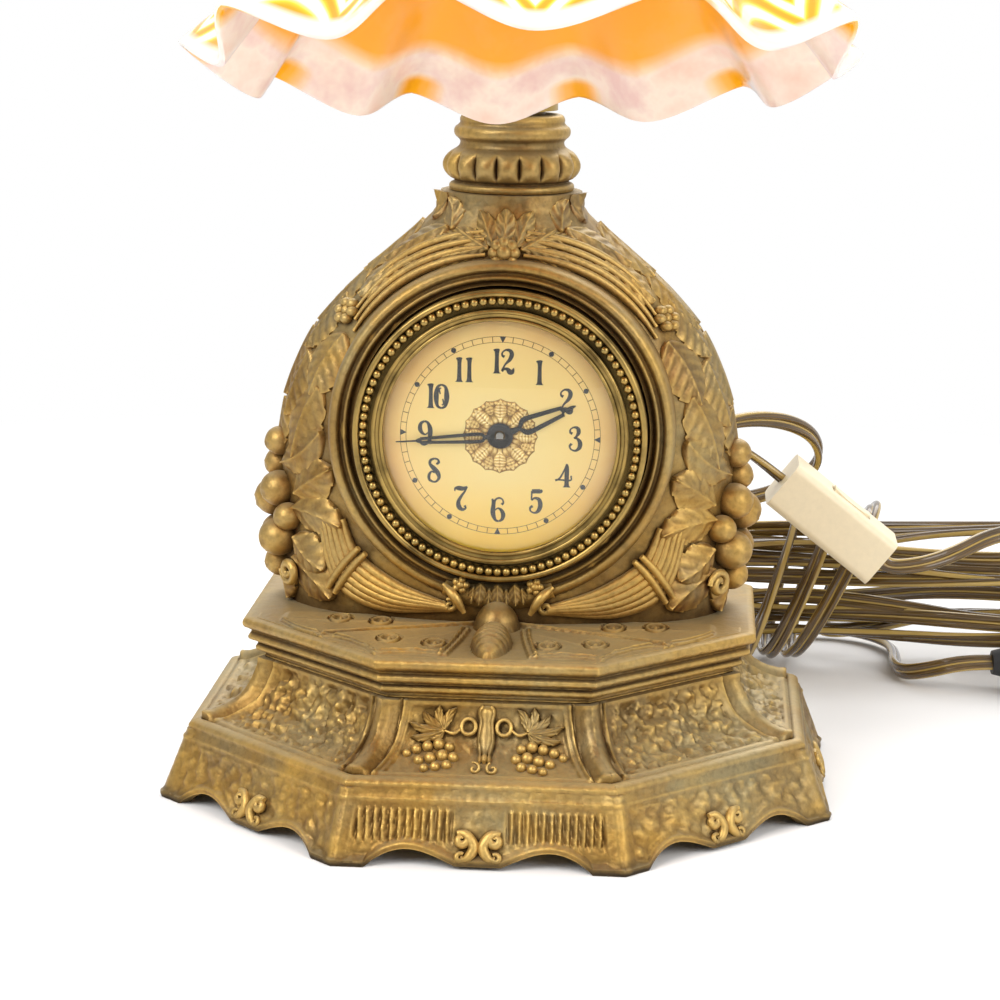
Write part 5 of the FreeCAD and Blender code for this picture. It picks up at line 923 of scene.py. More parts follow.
class CLAMP_OT_moth(bpy.types.Operator):
    """Model the moth in relief on the plinth's ledge"""
    bl_idname = "clock_lamp.moth"
    bl_label = "Moth"

    def execute(self, context):
        across = np.linspace(-67, 67, 300)[None]
        down = np.linspace(0, 1, 110)[:, None]
        reach = np.abs(across)
        edge = np.where(reach < 28.5, -68.4, -68.4 + (reach - 28.5))
        back = -24 + 10 * np.clip(1 - reach / 30, 0, 1) + 0.0 * reach
        y = back + (edge - back) * down
        x = across + 0 * y
        reach = np.abs(x)
        # Fore wing: behind a straight ridge from the thorax to its tip; hind wing: in front of it
        fore_front = -32.0 - 0.39 * (reach - 6)
        fore_end = (-48.0 + 1.15 * (reach - 47)
                    - 2.5 * np.sin(math.pi * ease(reach - 47, 13)))
        fore = ease(y - np.maximum(fore_front, fore_end), 0.6) * ease(60 - reach, 1.5)
        hind_front = np.interp(reach, (0, 9, 12, 16, 21, 26, 30, 33, 38, 43),
                               (-58, -62, -66.6, -65.0, -64.4, -65.0, -66.6, -60.5, -54.0, -50.0))
        hind_root = 7.4 + 3.8 * (np.clip(-37 - y, 0, 30) / 29) ** 1.4
        hind = ease(y - hind_front, 0.6) * ease(fore_front - 0.8 - y, 0.6)
        hind *= ease(43 - reach, 0.8) * ease(reach - hind_root, 0.6)
        rays = np.arctan2(y + 33, reach)
        veins = 0.3 * np.maximum(np.cos(rays * 19), 0) ** 6 * ease(reach, 20)
        spots = 0 * x
        for at_x, at_y in ((32.0, -31.5), (43.5, -30.0), (15.2, -54.0), (27.8, -50.5)):
            gap = np.hypot(reach - at_x, 0.65 * (y - at_y))
            spots = np.where(gap < 3.6, 0.5 * np.cos(TURN * gap / 2.4) - 0.1, spots)
        veins = np.where(spots == 0, veins, 0)
        lines = 1.3 * bell(y - fore_front, 0.75) * np.clip(47 - reach, 0, 1)
        for offset in (0.0, 1.6):
            lines += 0.85 * bell(reach - hind_root - offset, 0.45) * ease(-35.5 - y, 2)
            lines += 0.7 * bell(y - fore_end - offset, 0.45) * np.clip(reach - 47, 0, 1)
            lines += 0.7 * bell(y - hind_front - offset, 0.45) * np.clip(reach - 11, 0, 1)
        lines *= np.clip(60 - reach, 0, 1) * ease(y + 66.8, 0.8)
        height = 0.12 + 0.55 * (fore + hind).clip(0, 1) + (fore + hind) * (veins + spots) + lines
        # Thorax and ringed abdomen
        head = 1 - (x / 6.2) ** 2 - ((y + 33.5) / 7.0) ** 2
        tail = 1 - (x / (5.6 - 0.05 * np.abs(y + 55))) ** 2 - ((y + 52.5) / 15.0) ** 2
        rings = 0.85 * np.abs(np.sin(math.pi * (y + 0.045 * x ** 2) / 3.3)) ** 0.6
        height = np.maximum(height, 7.4 * np.sqrt(np.clip(head, 0, 1)))
        height = np.maximum(height, (4.6 + rings) * np.sqrt(np.clip(tail, 0, 1)))
        points = np.stack([x, y, 50.0 + height], 2)
        points[:, :, 2] += 0.06 * clouds(points, 1.5)
        points[0, :, 2] = points[-1, :, 2] = points[:, 0, 2] = points[:, -1, 2] = 49.9
        moulded_piece([points[::-1]], "ledge_moth", "gilt", 40)
        return {"FINISHED"}


class CLAMP_OT_garland(bpy.types.Operator):
    """Model the plinth's front panel: an urn between leaf sprays and berries, and the skirt's scrolls"""
    bl_idname = "clock_lamp.garland"
    bl_label = "Front panel"

    def execute(self, context):
        def on_cove(x, share, rise=0.0):
            place, out = cove_surface(np.array((x, 0.0, share), float))
            return place + out * rise

        def spray(x, share, tip_x, tip_share, width, rise=0.9, lobes=3):
            base, tip = on_cove(x, share), on_cove(tip_x, tip_share)

            def hollow(points):
                far = ease(COVE_TOP[1] - points[..., 2], 16.5)
                for _ in range(3):
                    high = cove_surface(np.stack([points[..., 0], far, far], -1))[0][..., 2]
                    far = np.clip(far + (high - points[..., 2]) / 18.0, 0, 1)
                return cove_surface(np.stack([points[..., 0], far, far], -1))

            return leaf(hollow, base, tip, width, rise, lobes, math.copysign(0.8, tip_x), unit=0.45,
                        teeth=0.2)

        parts = []
        for s in RIGHT_AND_LEFT:
            parts += [spray(s * 11, 0.32, s * x, share, width) for x, share, width in (
                (8.0, 0.08, 2.6), (12.5, 0.06, 2.8), (17.0, 0.12, 2.8), (20.5, 0.24, 2.6), (15.0, 0.42, 2.4),
                (20.0, 0.40, 2.6))]
            for x, share, radius in ((9.5, .50, 1.3), (12.3, .47, 1.5), (15.3, .50, 1.4), (18.2, .54, 1.3),
                                     (20.6, .60, 1.1), (8.3, .64, 1.4), (11.2, .62, 1.6), (14.3, .66, 1.5),
                                     (17.3, .70, 1.3), (9.8, .76, 1.3), (12.8, .79, 1.3), (15.6, .82, 1.1)):
                parts.append(ball(on_cove(s * x, share, -0.25), 1.05 * radius, rows=9, columns=12))
            hoop = [on_cove(s * (4.7 + 1.9 * math.cos(a)), 0.27 + 0.085 * math.sin(a), 0.6)
                    for a in np.linspace(0, TURN, 13)]
            parts.append(strand(hoop, 0.55, taper=0.0, count=25, sides=8))
            parts.append(strand([on_cove(s * 6.6, .29, .5), on_cove(s * 8.6, .35, .7),
                                 on_cove(s * 11, .32, .5)],
                                0.5, count=10, sides=8))
            parts.append(coil(on_cove(s * 2.4, 0.82, 0.2), (0, -1, 0.5), 1.7, 1.0, 0.5, -s, 1.2))
        urn = [(0.6, 0.05), (1.9, 0.09), (2.1, 0.13), (1.4, 0.21), (1.9, 0.33), (2.1, 0.43), (1.5, 0.53),
               (0.7, 0.61), (1.1, 0.66), (0.4, 0.71)]
        turn = np.linspace(0, TURN, 25)[None]
        for offset, scale in ((0.0, 1.0), (-1.2, 0.6), (1.2, 0.6)):
            rings = []
            for half, share in urn:
                centre, out = cove_surface(np.array((offset, 0.0, share)))
                rings.append(centre + np.outer(scale * half * np.sin(turn[0]), (1, 0, 0))
                             + np.outer(scale * (0.6 * half + 0.6) * np.cos(turn[0]), out))
            parts.append(capped(np.array(rings)))
        moulded_piece(parts, "front_garland", "gilt")
        scrolls = []
        lean = np.array((SKIRT_TOP, SKIRT_LEAN)) / math.hypot(SKIRT_TOP, SKIRT_LEAN)
        for side in range(8):
            turned_by = math.radians(45 * side)
            n = np.array((math.sin(turned_by), -math.cos(turned_by), 0))
            t = np.array((math.cos(turned_by), math.sin(turned_by), 0))
            out = n * lean[0] + np.array((0, 0, lean[1]))
            for s in RIGHT_AND_LEFT:
                def foot(x, z):
                    return t * s * x + n * (FOOT - SKIRT_LEAN * z / SKIRT_TOP + 0.3) + np.array((0, 0, z))

                scrolls.append(coil(foot(4.4, 7.6), out, 2.0, 1.2, 1.15, -s, math.pi / 2 + s * 0.6))
                scrolls.append(strand([foot(5.6, 9.2), foot(3.2, 8.9), foot(1.2, 6.0), foot(2.6, 3.4),
                                       foot(4.6, 2.4)], 1.5, taper=0.8, count=16, sides=8))
                scrolls.append(coil(foot(4.6, 3.2), out, 1.3, 1.0, 0.8, s, math.pi / 2 - s * 0.6))
        moulded_piece(scrolls, "skirt_scrolls", "gilt")
        return {"FINISHED"}


class CLAMP_OT_case(bpy.types.Operator):
    """Cast the clock case's body with the mouldings round the dial and the rear cover"""
    bl_idname = "clock_lamp.case"
    bl_label = "Clock case"

    def execute(self, context):
        turn = np.linspace(0, 360, 241)[None]
        high = np.concatenate([np.linspace(50, 160, 111), np.linspace(160.5, 166.9, 12)])[:, None]
        body = case_at(turn + 0 * high, high + 0 * turn)
        place, out = case_surface(body)
        chased = 0.22 * clouds(body, 3.2) + 0.12 * clouds(body, 1.1, 5.0) + 0.5
        body = place * np.array((1, 1, 0)) + body * np.array((0, 0, 1)) + out * chased[..., None]
        floor = body[:1] * np.array((0.5, 0.5, 1))
        roof = body[-1:] * np.array((0.3, 0.3, 1))
        reach = np.hypot(body[..., 0], body[..., 2] - DIAL_HEIGHT)
        seated = -28.0 - 2.5 * np.clip(reach - 46.6, 0, None)
        body[..., 1] = np.where(body[..., 1] < 0, np.maximum(body[..., 1], seated), body[..., 1])
        case = grid(np.concatenate([floor, body, roof])[:, ::-1])
        choose(case)
        bpy.ops.object.mode_set(mode="EDIT")
        bpy.ops.mesh.select_all(action="DESELECT")
        bpy.ops.object.mode_set(mode="OBJECT")
        for face in case.data.polygons:
            x, y, z = face.center / mm
            gap = math.hypot(x, z - DIAL_HEIGHT)
            face.select = gap < 45.2 if y < 0 else gap < 36.5
        bpy.ops.object.mode_set(mode="EDIT")
        bpy.ops.mesh.delete(type="FACE")
        bpy.ops.object.mode_set(mode="OBJECT")
        finish(case, "case_body", MADE["gilt"], "base", 50)
        ring = turned(eased([
            (47.6, 10.0), (47.6, 26.4), (47.4, 28.6), (46.6, 30.2), (45.4, 30.6), (44.6, 30.0), (44.3, 29.2),
            (43.9, 28.9), (43.4, 29.4), (43.0, 29.8), (42.4, 29.7), (42.0, 29.0), (41.7, 28.0), (41.0, 27.8),
            (40.5, 28.0), (40.4, 27.0), (40.4, 25.2), (34.2, 25.2), (34.2, 10.0),
        ]), 200)
        moulded_piece([ring[:, ::-1]], "dial_ring", "ring", 40)
        seat = turned(eased([
            (39.0, -14.0), (39.0, -29.0), (38.4, -30.2), (37.4, -30.6), (35.0, -30.6), (34.3, -30.3),
            (34.3, -28.9), (31.4, -28.9), (31.4, -14.0),
        ]), 96)
        moulded_piece([seat], "rear_seat", "gilt", 40)
        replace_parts(case, "clock_case")
        return {"FINISHED"}


class CLAMP_OT_foliage(bpy.types.Operator):
    """Model the leaves, fruit, reeds and horns that are cast round the case"""
    bl_idname = "clock_lamp.foliage"
    bl_label = "Foliage"

    def execute(self, context):
        # Leaves as (turn, height) of foot and tip, width, rise, lobes, bend, lift
        shoulder = (
            ((62, 159), (78, 168.5), 9, 1.6, 3, 0.0, 2.6),
            ((36, 157), (52, 166), 7, 1.2, 3, 0.0, 1.2),
            ((40, 158), (68, 147), 10, 1.7, 5, -1.0, 0.8),
            ((84, 158), (80, 143), 11, 1.4, 5, 1.0, 0.8),
            ((50, 149), (60, 137.5), 11, 1.8, 5, -1.0, 1.0),
            ((80, 146), (80, 129), 12, 1.5, 6, 0.5, 0.8),
            ((72, 138), (76, 122), 12, 1.6, 6, 0.0, 0.9),
            ((54, 128), (60, 110), 13.5, 1.9, 6, -1.2, 1.0),
            ((84, 128), (84, 108), 13, 1.6, 6, 0.0, 0.9),
            ((72, 122), (76, 103), 12, 1.7, 6, 0.0, 1.0),
            ((57, 113), (66, 92), 13.5, 2.1, 6, -1.2, 1.2),
            ((84, 108), (86, 92), 12, 1.8, 5, 0.0, 1.2),
            ((52, 101), (74, 90), 11, 2.6, 4, 2.0, 1.4),
        )
        low = (
            ((66, 82), (47, 91), 12, 2.4, 4, 0.0, 1.0),
            ((67, 78), (43, 75), 10.5, 2.8, 4, 1.0, 1.4),
            ((66, 70), (50, 62), 12.5, 3.0, 4, -1.0, 1.4),
            ((68, 64), (48, 54), 12.5, 2.6, 4, 1.0, 1.6),
            ((84, 62), (74, 51), 12, 2.4, 4, 0.0, 1.4),
            ((98, 64), (104, 51), 12, 2.2, 4, 0.0, 1.4),
            ((98, 92), (112, 80), 12, 2.0, 4, 0.0, 1.2),
            ((104, 76), (124, 70), 12, 2.0, 4, 0.0, 1.2),
            ((104, 66), (126, 56), 12, 2.0, 4, 0.0, 1.2),
        )
        rear = tuple(((180 - a, b), (180 - c, d), w, r, n, -bend, lift)
                     for (a, b), (c, d), w, r, n, bend, lift in shoulder[2:12])
        groups = {"shoulder_leaves": shoulder, "low_leaves": low, "rear_leaves": rear}
        for name, leaves in groups.items():
            parts = []
            for foot, tip, width, rise, lobes, bend, lift in leaves:
                made = leaf(case_surface, case_at(*foot), case_at(*tip), 1.12 * width, 0.8 * rise, lobes,
                            bend,
                            0.6 * lift)
                parts += [made, mirrored(made)]
            moulded_piece(parts, name, "leaves")

        fruit = []
        for angle, z, radius, out_share in (
                (80, 82, 5.4, .4), (93, 88, 4.8, .3), (90, 78.5, 5.8, .55), (77, 68.5, 5.8, .5),
                (91, 68.5, 5.2, .4), (101, 80, 5.2, .4), (104, 70, 5.4, .4), (70, 75, 4.2, .5),
                (85, 95, 4.4, .3), (86, 60.5, 4.8, .35), (98, 61, 4.6, .3), (110, 86, 4.6, .3)):
            place, out = case_surface(case_at(angle, z))
            centre = place + out * radius * out_share
            eye = out + np.array((0.3, -0.6, -0.3))
            made = ball(centre, radius, 0.94, eye, 18, 26)
            fruit += [made, mirrored(made)]
        moulded_piece(fruit, "fruit", "leaves")

        reeds = []
        for k in range(4):
            radius = 48.4 + 2.0 * k
            for s in RIGHT_AND_LEFT:
                route = []
                for step in range(9):
                    angle = math.radians(6 + (52 - 3 * k) * step / 8)
                    reach = radius - 0.55 * k * step / 8
                    route.append(case_front(s * reach * math.sin(angle),
                                            DIAL_HEIGHT + reach * math.cos(angle)))
                reeds.append(strand(route, 1.25, case_surface, 1.0, 0.75, 34))
        for s in RIGHT_AND_LEFT:
            for k in range(6):
                route = [(43.5 + 1.3 * k, 77 - 0.2 * k), (39.5 + 1.1 * k, 67.5 - 1.5 * k),
                         (28 + k, 59.8 - 1.2 * k), (14.5 - 0.3 * k, 55.6 - 0.28 * k)]
                places = [case_front(s * x, z) for x, z in route]
                reeds.append(strand(places, 1.5, case_surface, 1.2 + 0.7 * math.sin(math.pi * k / 5), 0.55,
                                    30))
            for shift in (0, 2.3):
                band = [case_front(s * (x - 0.83 * shift), z - 0.56 * shift)
                        for x, z in ((38.0, 69.8), (41.0, 66.4), (44.2, 61.8), (46.6, 57.6))]
                reeds.append(strand(band, 1.2, case_surface, 2.9, 0.4, 20))
        moulded_piece(reeds, "reeds_and_horns", "leaves")

        crest = []
        for angle, z, width, length in ((0, 163.5, 7, 12), (20, 163, 6, 11), (-20, 163, 6, 11),
                                        (32, 157.5, 6.5, 12), (-32, 157.5, 6.5, 12)):
            crest.append(leaf(case_surface, case_at(np.float64(angle / 4), 152.5),
                              case_at(np.float64(angle), z),
                              width, 1.3, 4, 0, 0.8))
        for s in RIGHT_AND_LEFT:
            crest.append(leaf(case_surface, case_at(s * 8.0, 153.5), case_at(s * 50.0, 146.5), 7.0, 1.1, 9,
                              0.0, 0.4, 0.12))
            crest.append(leaf(case_surface, case_at(s * 10.0, 156.0), case_at(s * 44.0, 154.5), 6.0, 1.1, 7,
                              0.0, 0.4, 0.12))
            place, out = case_surface(case_at(s * 61.0, 133.5))
            crest.append(ball(place + out * 1.2, 1.6))
            for k in range(6):
                turn = TURN * k / 6
                side = np.cross(out, (0, 0, 1.0))
                up = np.cross(side, out)
                crest.append(ball(place + out * 1.4 + 3.0 * (side * math.cos(turn) + up * math.sin(turn)),
                                  1.8, 0.8))
            place, out = case_surface(case_at(s * 68.0, 60.0))
            crest.append(coil(place + out * 3.4, out, 3.8, 1.5, 1.3, s, 0.0))
            place, out = case_surface(case_at(s * 12.0, 55.5))
            crest.append(coil(place + out * 1.8, out, 1.8, 1.2, 0.8, -s, 1.0))
            crest.append(strand([(s * 15.0, -31.6, 61.5), (s * 11.8, -33.6, 58.6), (s * 9.0, -33.4, 54.0)],
                                1.4,
                                taper=0.7, count=14))
            knob = np.array((s * 10.2, -32.4, 61.6))
            crest.append(ball(knob, 1.2))
            for k in range(5):
                turn = TURN * k / 5
                crest.append(ball(knob + 1.5 * np.array((math.cos(turn), 0.1, math.sin(turn))), 1.0))
        place, out = case_surface(case_at(0.0, 151.6))
        for k in range(8):
            turn = TURN * k / 8
            crest.append(ball(place + out * 2.2 + 2.7 * np.array((math.cos(turn), 0, math.sin(turn))), 1.7))
        crest.append(ball(place + out * 2.8, 2.2))

        def apron(points):
            facing = np.zeros_like(points) + np.array((0, -1.0, 0))
            return points * np.array((1, 0, 1)) + np.array((0, -31.4, 0)), facing

        under = [(x, -28.6, DIAL_HEIGHT - math.sqrt(45.6 ** 2 - x * x)) for x in (-15, -8, 0, 8, 15)]
        crest.append(strand(under, 3.7, taper=0.5, count=30, sides=16))
        for x, top, low, width in ((-2.3, 60.6, 55.8, 2.6), (2.3, 60.6, 55.8, 2.6), (-6.6, 61.0, 56.6, 2.6),
                                   (6.6, 61.0, 56.6, 2.6), (0, 61.9, 55.6, 4.0), (-4.6, 62.2, 56.2, 4.0),
                                   (4.6, 62.2, 56.2, 4.0)):
            crest.append(leaf(apron, (x, 0, top), (1.1 * x, 0, low), width, 1.2, 3, 0, 0.6, unit=0.5))
        moulded_piece(crest, "crest_and_frill", "gilt")
        return {"FINISHED"}


class CLAMP_OT_collar(bpy.types.Operator):
    """Cast the gadrooned collar on the case's neck"""
    bl_idname = "clock_lamp.collar"
    bl_label = "Collar"

    def execute(self, context):
        profile = eased([
            (4.9, 167.0), (17.0, 167.0), (17.4, 167.9), (17.2, 168.9), (16.0, 169.4), (15.8, 169.9),
            (17.4, 170.6), (18.8, 172.2), (19.3, 174.0), (18.8, 175.8), (17.4, 177.4), (15.6, 178.4),
            (14.6, 179.2), (14.3, 180.4), (14.9, 181.2), (15.9, 182.0), (16.2, 183.2), (15.9, 184.3),
            (15.0, 184.9), (14.4, 185.6), (14.6, 186.5), (14.1, 187.6), (13.2, 188.0), (4.9, 188.0),
        ])
        turn = np.linspace(0, TURN, 273)[None]
        lobe = np.abs(np.cos(turn * 17 / 2)) ** 0.55
        band = np.exp(-((profile[:, 1:] - 174.0) / 2.9) ** 4)
        far = profile[:, :1] - 2.6 * band * (1 - lobe)
        high = profile[:, 1:] + 0 * turn
        points = np.stack([far * np.sin(turn), -far * np.cos(turn), high], 2)
        collar = moulded_piece([points], "gadrooned_collar", "gilt", 50)
        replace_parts(collar, "neck_collar")
        return {"FINISHED"}


# Strokes of the dial's figures, as (across, up, width) in shares of a figure's height
FIGURES = {
    "0": [[(0.0, .5, .05), (-.17, .38, .09), (-.22, 0, .17), (-.17, -.38, .09), (0, -.5, .05)],
          [(0.0, .5, .05), (.17, .38, .09), (.22, 0, .17), (.17, -.38, .09), (0, -.5, .05)],
          [(-.05, .1, .03), (-.10, .3, .05), (-.02, .36, .03)],
          [(.05, -.1, .03), (.10, -.3, .05), (.02, -.36, .03)]],
    "1": [[(0, .5, .20), (0, .42, .15), (0, .2, .12), (0, -.3, .14), (0, -.44, .18), (0, -.5, .28)],
          [(-.14, .47, .05), (0, .5, .05), (.1, .5, .03)]],
    "2": [[(-.13, .2, .09), (-.22, .26, .06), (-.22, .38, .04), (-.08, .49, .05), (.1, .46, .11),
           (.17, .3, .14), (.08, .08, .11), (-.1, -.12, .05), (-.22, -.36, .06)],
          [(-.24, -.4, .07), (-.12, -.3, .06), (0, -.32, .12), (.1, -.42, .18), (.2, -.42, .13),
           (.26, -.26, .03)]],
    "3": [[(-.12, .22, .08), (-.21, .28, .06), (-.2, .4, .04), (-.06, .49, .05), (.1, .45, .11),
           (.14, .28, .13), (.04, .1, .06), (-.06, .04, .03)],
          [(-.06, .04, .03), (.08, .02, .07), (.2, -.14, .14), (.18, -.36, .13), (.02, -.49, .06),
           (-.16, -.44, .04), (-.22, -.3, .06), (-.14, -.2, .08)]],
    "4": [[(.1, .46, .03), (0, .2, .04), (-.16, -.1, .05), (-.32, -.22, .04)],
          [(-.36, -.2, .06), (-.2, -.18, .04), (.1, -.2, .05), (.3, -.18, .04), (.3, .0, .04)],
          [(.12, .5, .04), (.12, .3, .14), (.12, -.3, .14), (.12, -.44, .18), (.12, -.5, .28)]],
    "5": [[(-.16, .42, .14), (0, .43, .14), (.2, .44, .14), (.26, .5, .04)],
          [(-.16, .44, .05), (-.17, .2, .04), (-.17, .06, .04)],
          [(-.17, .04, .04), (-.04, .14, .06), (.14, .08, .12), (.2, -.16, .15), (.12, -.4, .12),
           (-.04, -.49, .05),
           (-.2, -.42, .04), (-.22, -.28, .06), (-.12, -.2, .08)]],
    "6": [[(.15, .22, .08), (.22, .3, .05), (.18, .44, .04), (.04, .5, .05), (-.12, .4, .06), (-.2, .1, .14),
           (-.2, -.2, .15), (-.1, -.44, .08), (.04, -.5, .05)],
          [(.04, -.5, .05), (.18, -.4, .10), (.22, -.2, .14), (.14, -.02, .10), (0, .06, .04),
           (-.12, -.02, .03)],
          [(-.24, .46, .05), (-.2, .3, .10), (-.2, .1, .12)]],
    "7": [[(-.26, .3, .03), (-.24, .42, .06), (-.1, .43, .15), (.1, .42, .13), (.26, .5, .04)],
          [(.26, .5, .04), (.16, .3, .05), (.02, .1, .08), (-.1, -.14, .12), (-.08, -.36, .16),
           (.06, -.48, .10),
           (.2, -.42, .05), (.16, -.3, .08)]],
    "8": [[(.0, .5, .05), (-.16, .42, .08), (-.18, .26, .09), (-.02, .08, .15), (.14, -.1, .15),
           (.2, -.3, .10),
           (.1, -.46, .06), (-.04, -.5, .05)],
          [(.0, .5, .05), (.14, .46, .05), (.18, .34, .08), (.08, .26, .05)],
          [(-.04, -.5, .05), (-.2, -.4, .08), (-.22, -.22, .09), (-.12, -.06, .05), (.02, -.1, .05)]],
    "9": [[(-.15, -.22, .08), (-.22, -.3, .05), (-.18, -.44, .04), (-.04, -.5, .05), (.12, -.4, .06),
           (.2, -.1, .14),
           (.2, .2, .15), (.1, .44, .08), (-.04, .5, .05)],
          [(-.04, .5, .05), (-.18, .4, .10), (-.22, .2, .14), (-.14, .02, .10), (0, -.06, .04),
           (.12, .02, .03)],
          [(.24, -.46, .05), (.2, -.3, .10), (.2, -.1, .12)]],
}


def print_strip(route, front, count=None):
    """A flat printed line through (across, up, width) points on the dial's face, in millimetres."""
    line = smooth_route(route, count or 5 * len(route))
    way = np.gradient(line[:, :2], axis=0)
    way /= np.linalg.norm(way, axis=1)[:, None] + 1e-9
    side = np.stack([-way[:, 1], way[:, 0]], 1)
    rows = [line[:, :2] + side * line[:, 2:] / 2 * k for k in (1, -1)]
    return np.stack([np.stack([row[:, 0], np.full(len(row), -front), DIAL_HEIGHT + row[:, 1]], 1)
                     for row in rows])


def on_dial(reach, hour_angle):
    """Across and up on the dial for a distance from its centre and an angle clockwise from the top."""
    angle = math.radians(hour_angle)
    return reach * math.sin(angle), reach * math.cos(angle)


class CLAMP_OT_dial(bpy.types.Operator):
    """Print the dial's track and figures, and press its rosette"""
    bl_idname = "clock_lamp.dial"
    bl_label = "Dial"

    def execute(self, context):
        sizes = context.scene.clock_lamp_sizes
        outer = sizes.track_radius / mm
        track = []
        for radius in (outer, outer - TRACK_WIDTH):
            circle = [(*on_dial(radius, a), 0.16) for a in np.linspace(0, 360, 121)]
            track.append(print_strip(circle, DIAL_FRONT, 361))
        for k in range(60):
            if k % 15:
                tick = [(*on_dial(reach, 6 * k + PRINT_TILT), 0.22) for reach in (outer, outer - TRACK_WIDTH)]
                track.append(print_strip(tick, DIAL_FRONT, 2))
        moulded_piece(track, "minute_track", "track", 30, weld=0.0)
        marks = []
        for hour in range(1, 13):
            angle = 30 * hour + PRINT_TILT
            if hour % 3:
                at = on_dial(outer - 0.75, angle)
                dot = np.array([[(at[0] + 0.7 * r * math.sin(a), at[1] + 0.7 * r * math.cos(a))
                                 for a in np.linspace(0, TURN, 17)] for r in (0, 1)])
                marks.append(np.stack([dot[..., 0], np.full(dot.shape[:2], -DIAL_FRONT - 0.01),
                                       DIAL_HEIGHT + dot[..., 1]], 2))
            else:
                marks.append(print_strip([(*on_dial(outer, angle), 1.7),
                                          (*on_dial(outer - 1.7, angle), 0.05)],
                                         DIAL_FRONT + 0.01, 3))
            text = str(hour)
            across, up = on_dial(FIGURE_CIRCLE, angle)
            for k, figure in enumerate(text):
                shift = (k - (len(text) - 1) / 2) * (2.9 if "1" in text and text != "11" else 2.7)
                for route in FIGURES[figure]:
                    stroke = [(across + shift + FIGURE_HEIGHT * x, up + FIGURE_HEIGHT * y,
                               FIGURE_HEIGHT * (1.15 * w + 0.022)) for x, y, w in route]
                    marks.append(print_strip(stroke, DIAL_FRONT))
        moulded_piece(marks, "dial_figures", "ink", 30, weld=0.0)

        radius = np.concatenate([np.linspace(3.2, 9.6, 44), [10.0, 10.25]])[:, None]
        turn = np.linspace(0, TURN, 289)[None]
        edge = 1 - 0.055 * np.abs(np.sin(turn * 8)) ** 0.8
        far = radius * (1 - (1 - edge) * ease(radius - 6.0, 3.0))

        def pressed(places, start, end, wide):
            """A round-backed leaf with a vein and lobes; places run from -1 to 1 across its share of a turn."""
            run = np.clip((radius - start) / (end - start), 0, 1)
            half = wide * np.sin(math.pi * run ** 0.8) ** 0.6 + 0.001
            body = np.sqrt(np.clip(1 - (places / half) ** 2, 0, 1))
            return body * (0.75 + 0.25 * np.cos(7 * radius - 6 * np.abs(places)) - 0.35 * bell(places, 0.09))

        eighth = np.mod(8 * turn / TURN + 0.5, 1) * 2 - 1
        between = np.mod(8 * turn / TURN, 1) * 2 - 1
        ribs = np.abs(np.cos(turn * 10)) ** 0.6 * bell(radius - 4.3, 0.9)
        rope = np.abs(np.cos(turn * 24)) ** 0.5 * bell(radius - 9.5, 0.4)
        leaves = np.maximum(pressed(eighth, 4.2, 9.8, 0.66), 0.8 * pressed(between, 6.2, 9.9, 0.4))
        raised = np.maximum(leaves, np.maximum(0.7 * ribs, 0.8 * rope))
        height = ROSETTE_BACK + ROSETTE_RELIEF * raised
        points = np.stack([far * np.sin(turn), -height + 0 * far, DIAL_HEIGHT + far * np.cos(turn)], 2)
        points[-1, :, 1] = 0.02 - ROSETTE_BACK
        rosette = moulded_piece([points[:, ::-1]], "pressed_rosette", "rosette")
        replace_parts(rosette, "dial_rosette")

        beads = []
        circle = sizes.bead_circle / mm
        for k in range(BEADS):
            at = on_dial(circle, 360 * k / BEADS)
            beads.append(ball((at[0], -BEAD_FRONT, DIAL_HEIGHT + at[1]), sizes.bead_radius / mm, rows=9,
                              columns=12))
        moulded_piece(beads, "bezel_beads", "beads", 80)
        rims = [turned([(radius + thick * math.cos(a), out + 0.8 * thick * math.sin(a))
                        for a in np.linspace(0, TURN, 13)], 200)
                for radius, thick, out in ((39.2, 0.85, 34.35), (32.25, 0.5, 34.5), (34.3, 0.55, 34.3))]
        moulded_piece(rims, "bezel_rims", "bezel", 80)
        return {"FINISHED"}


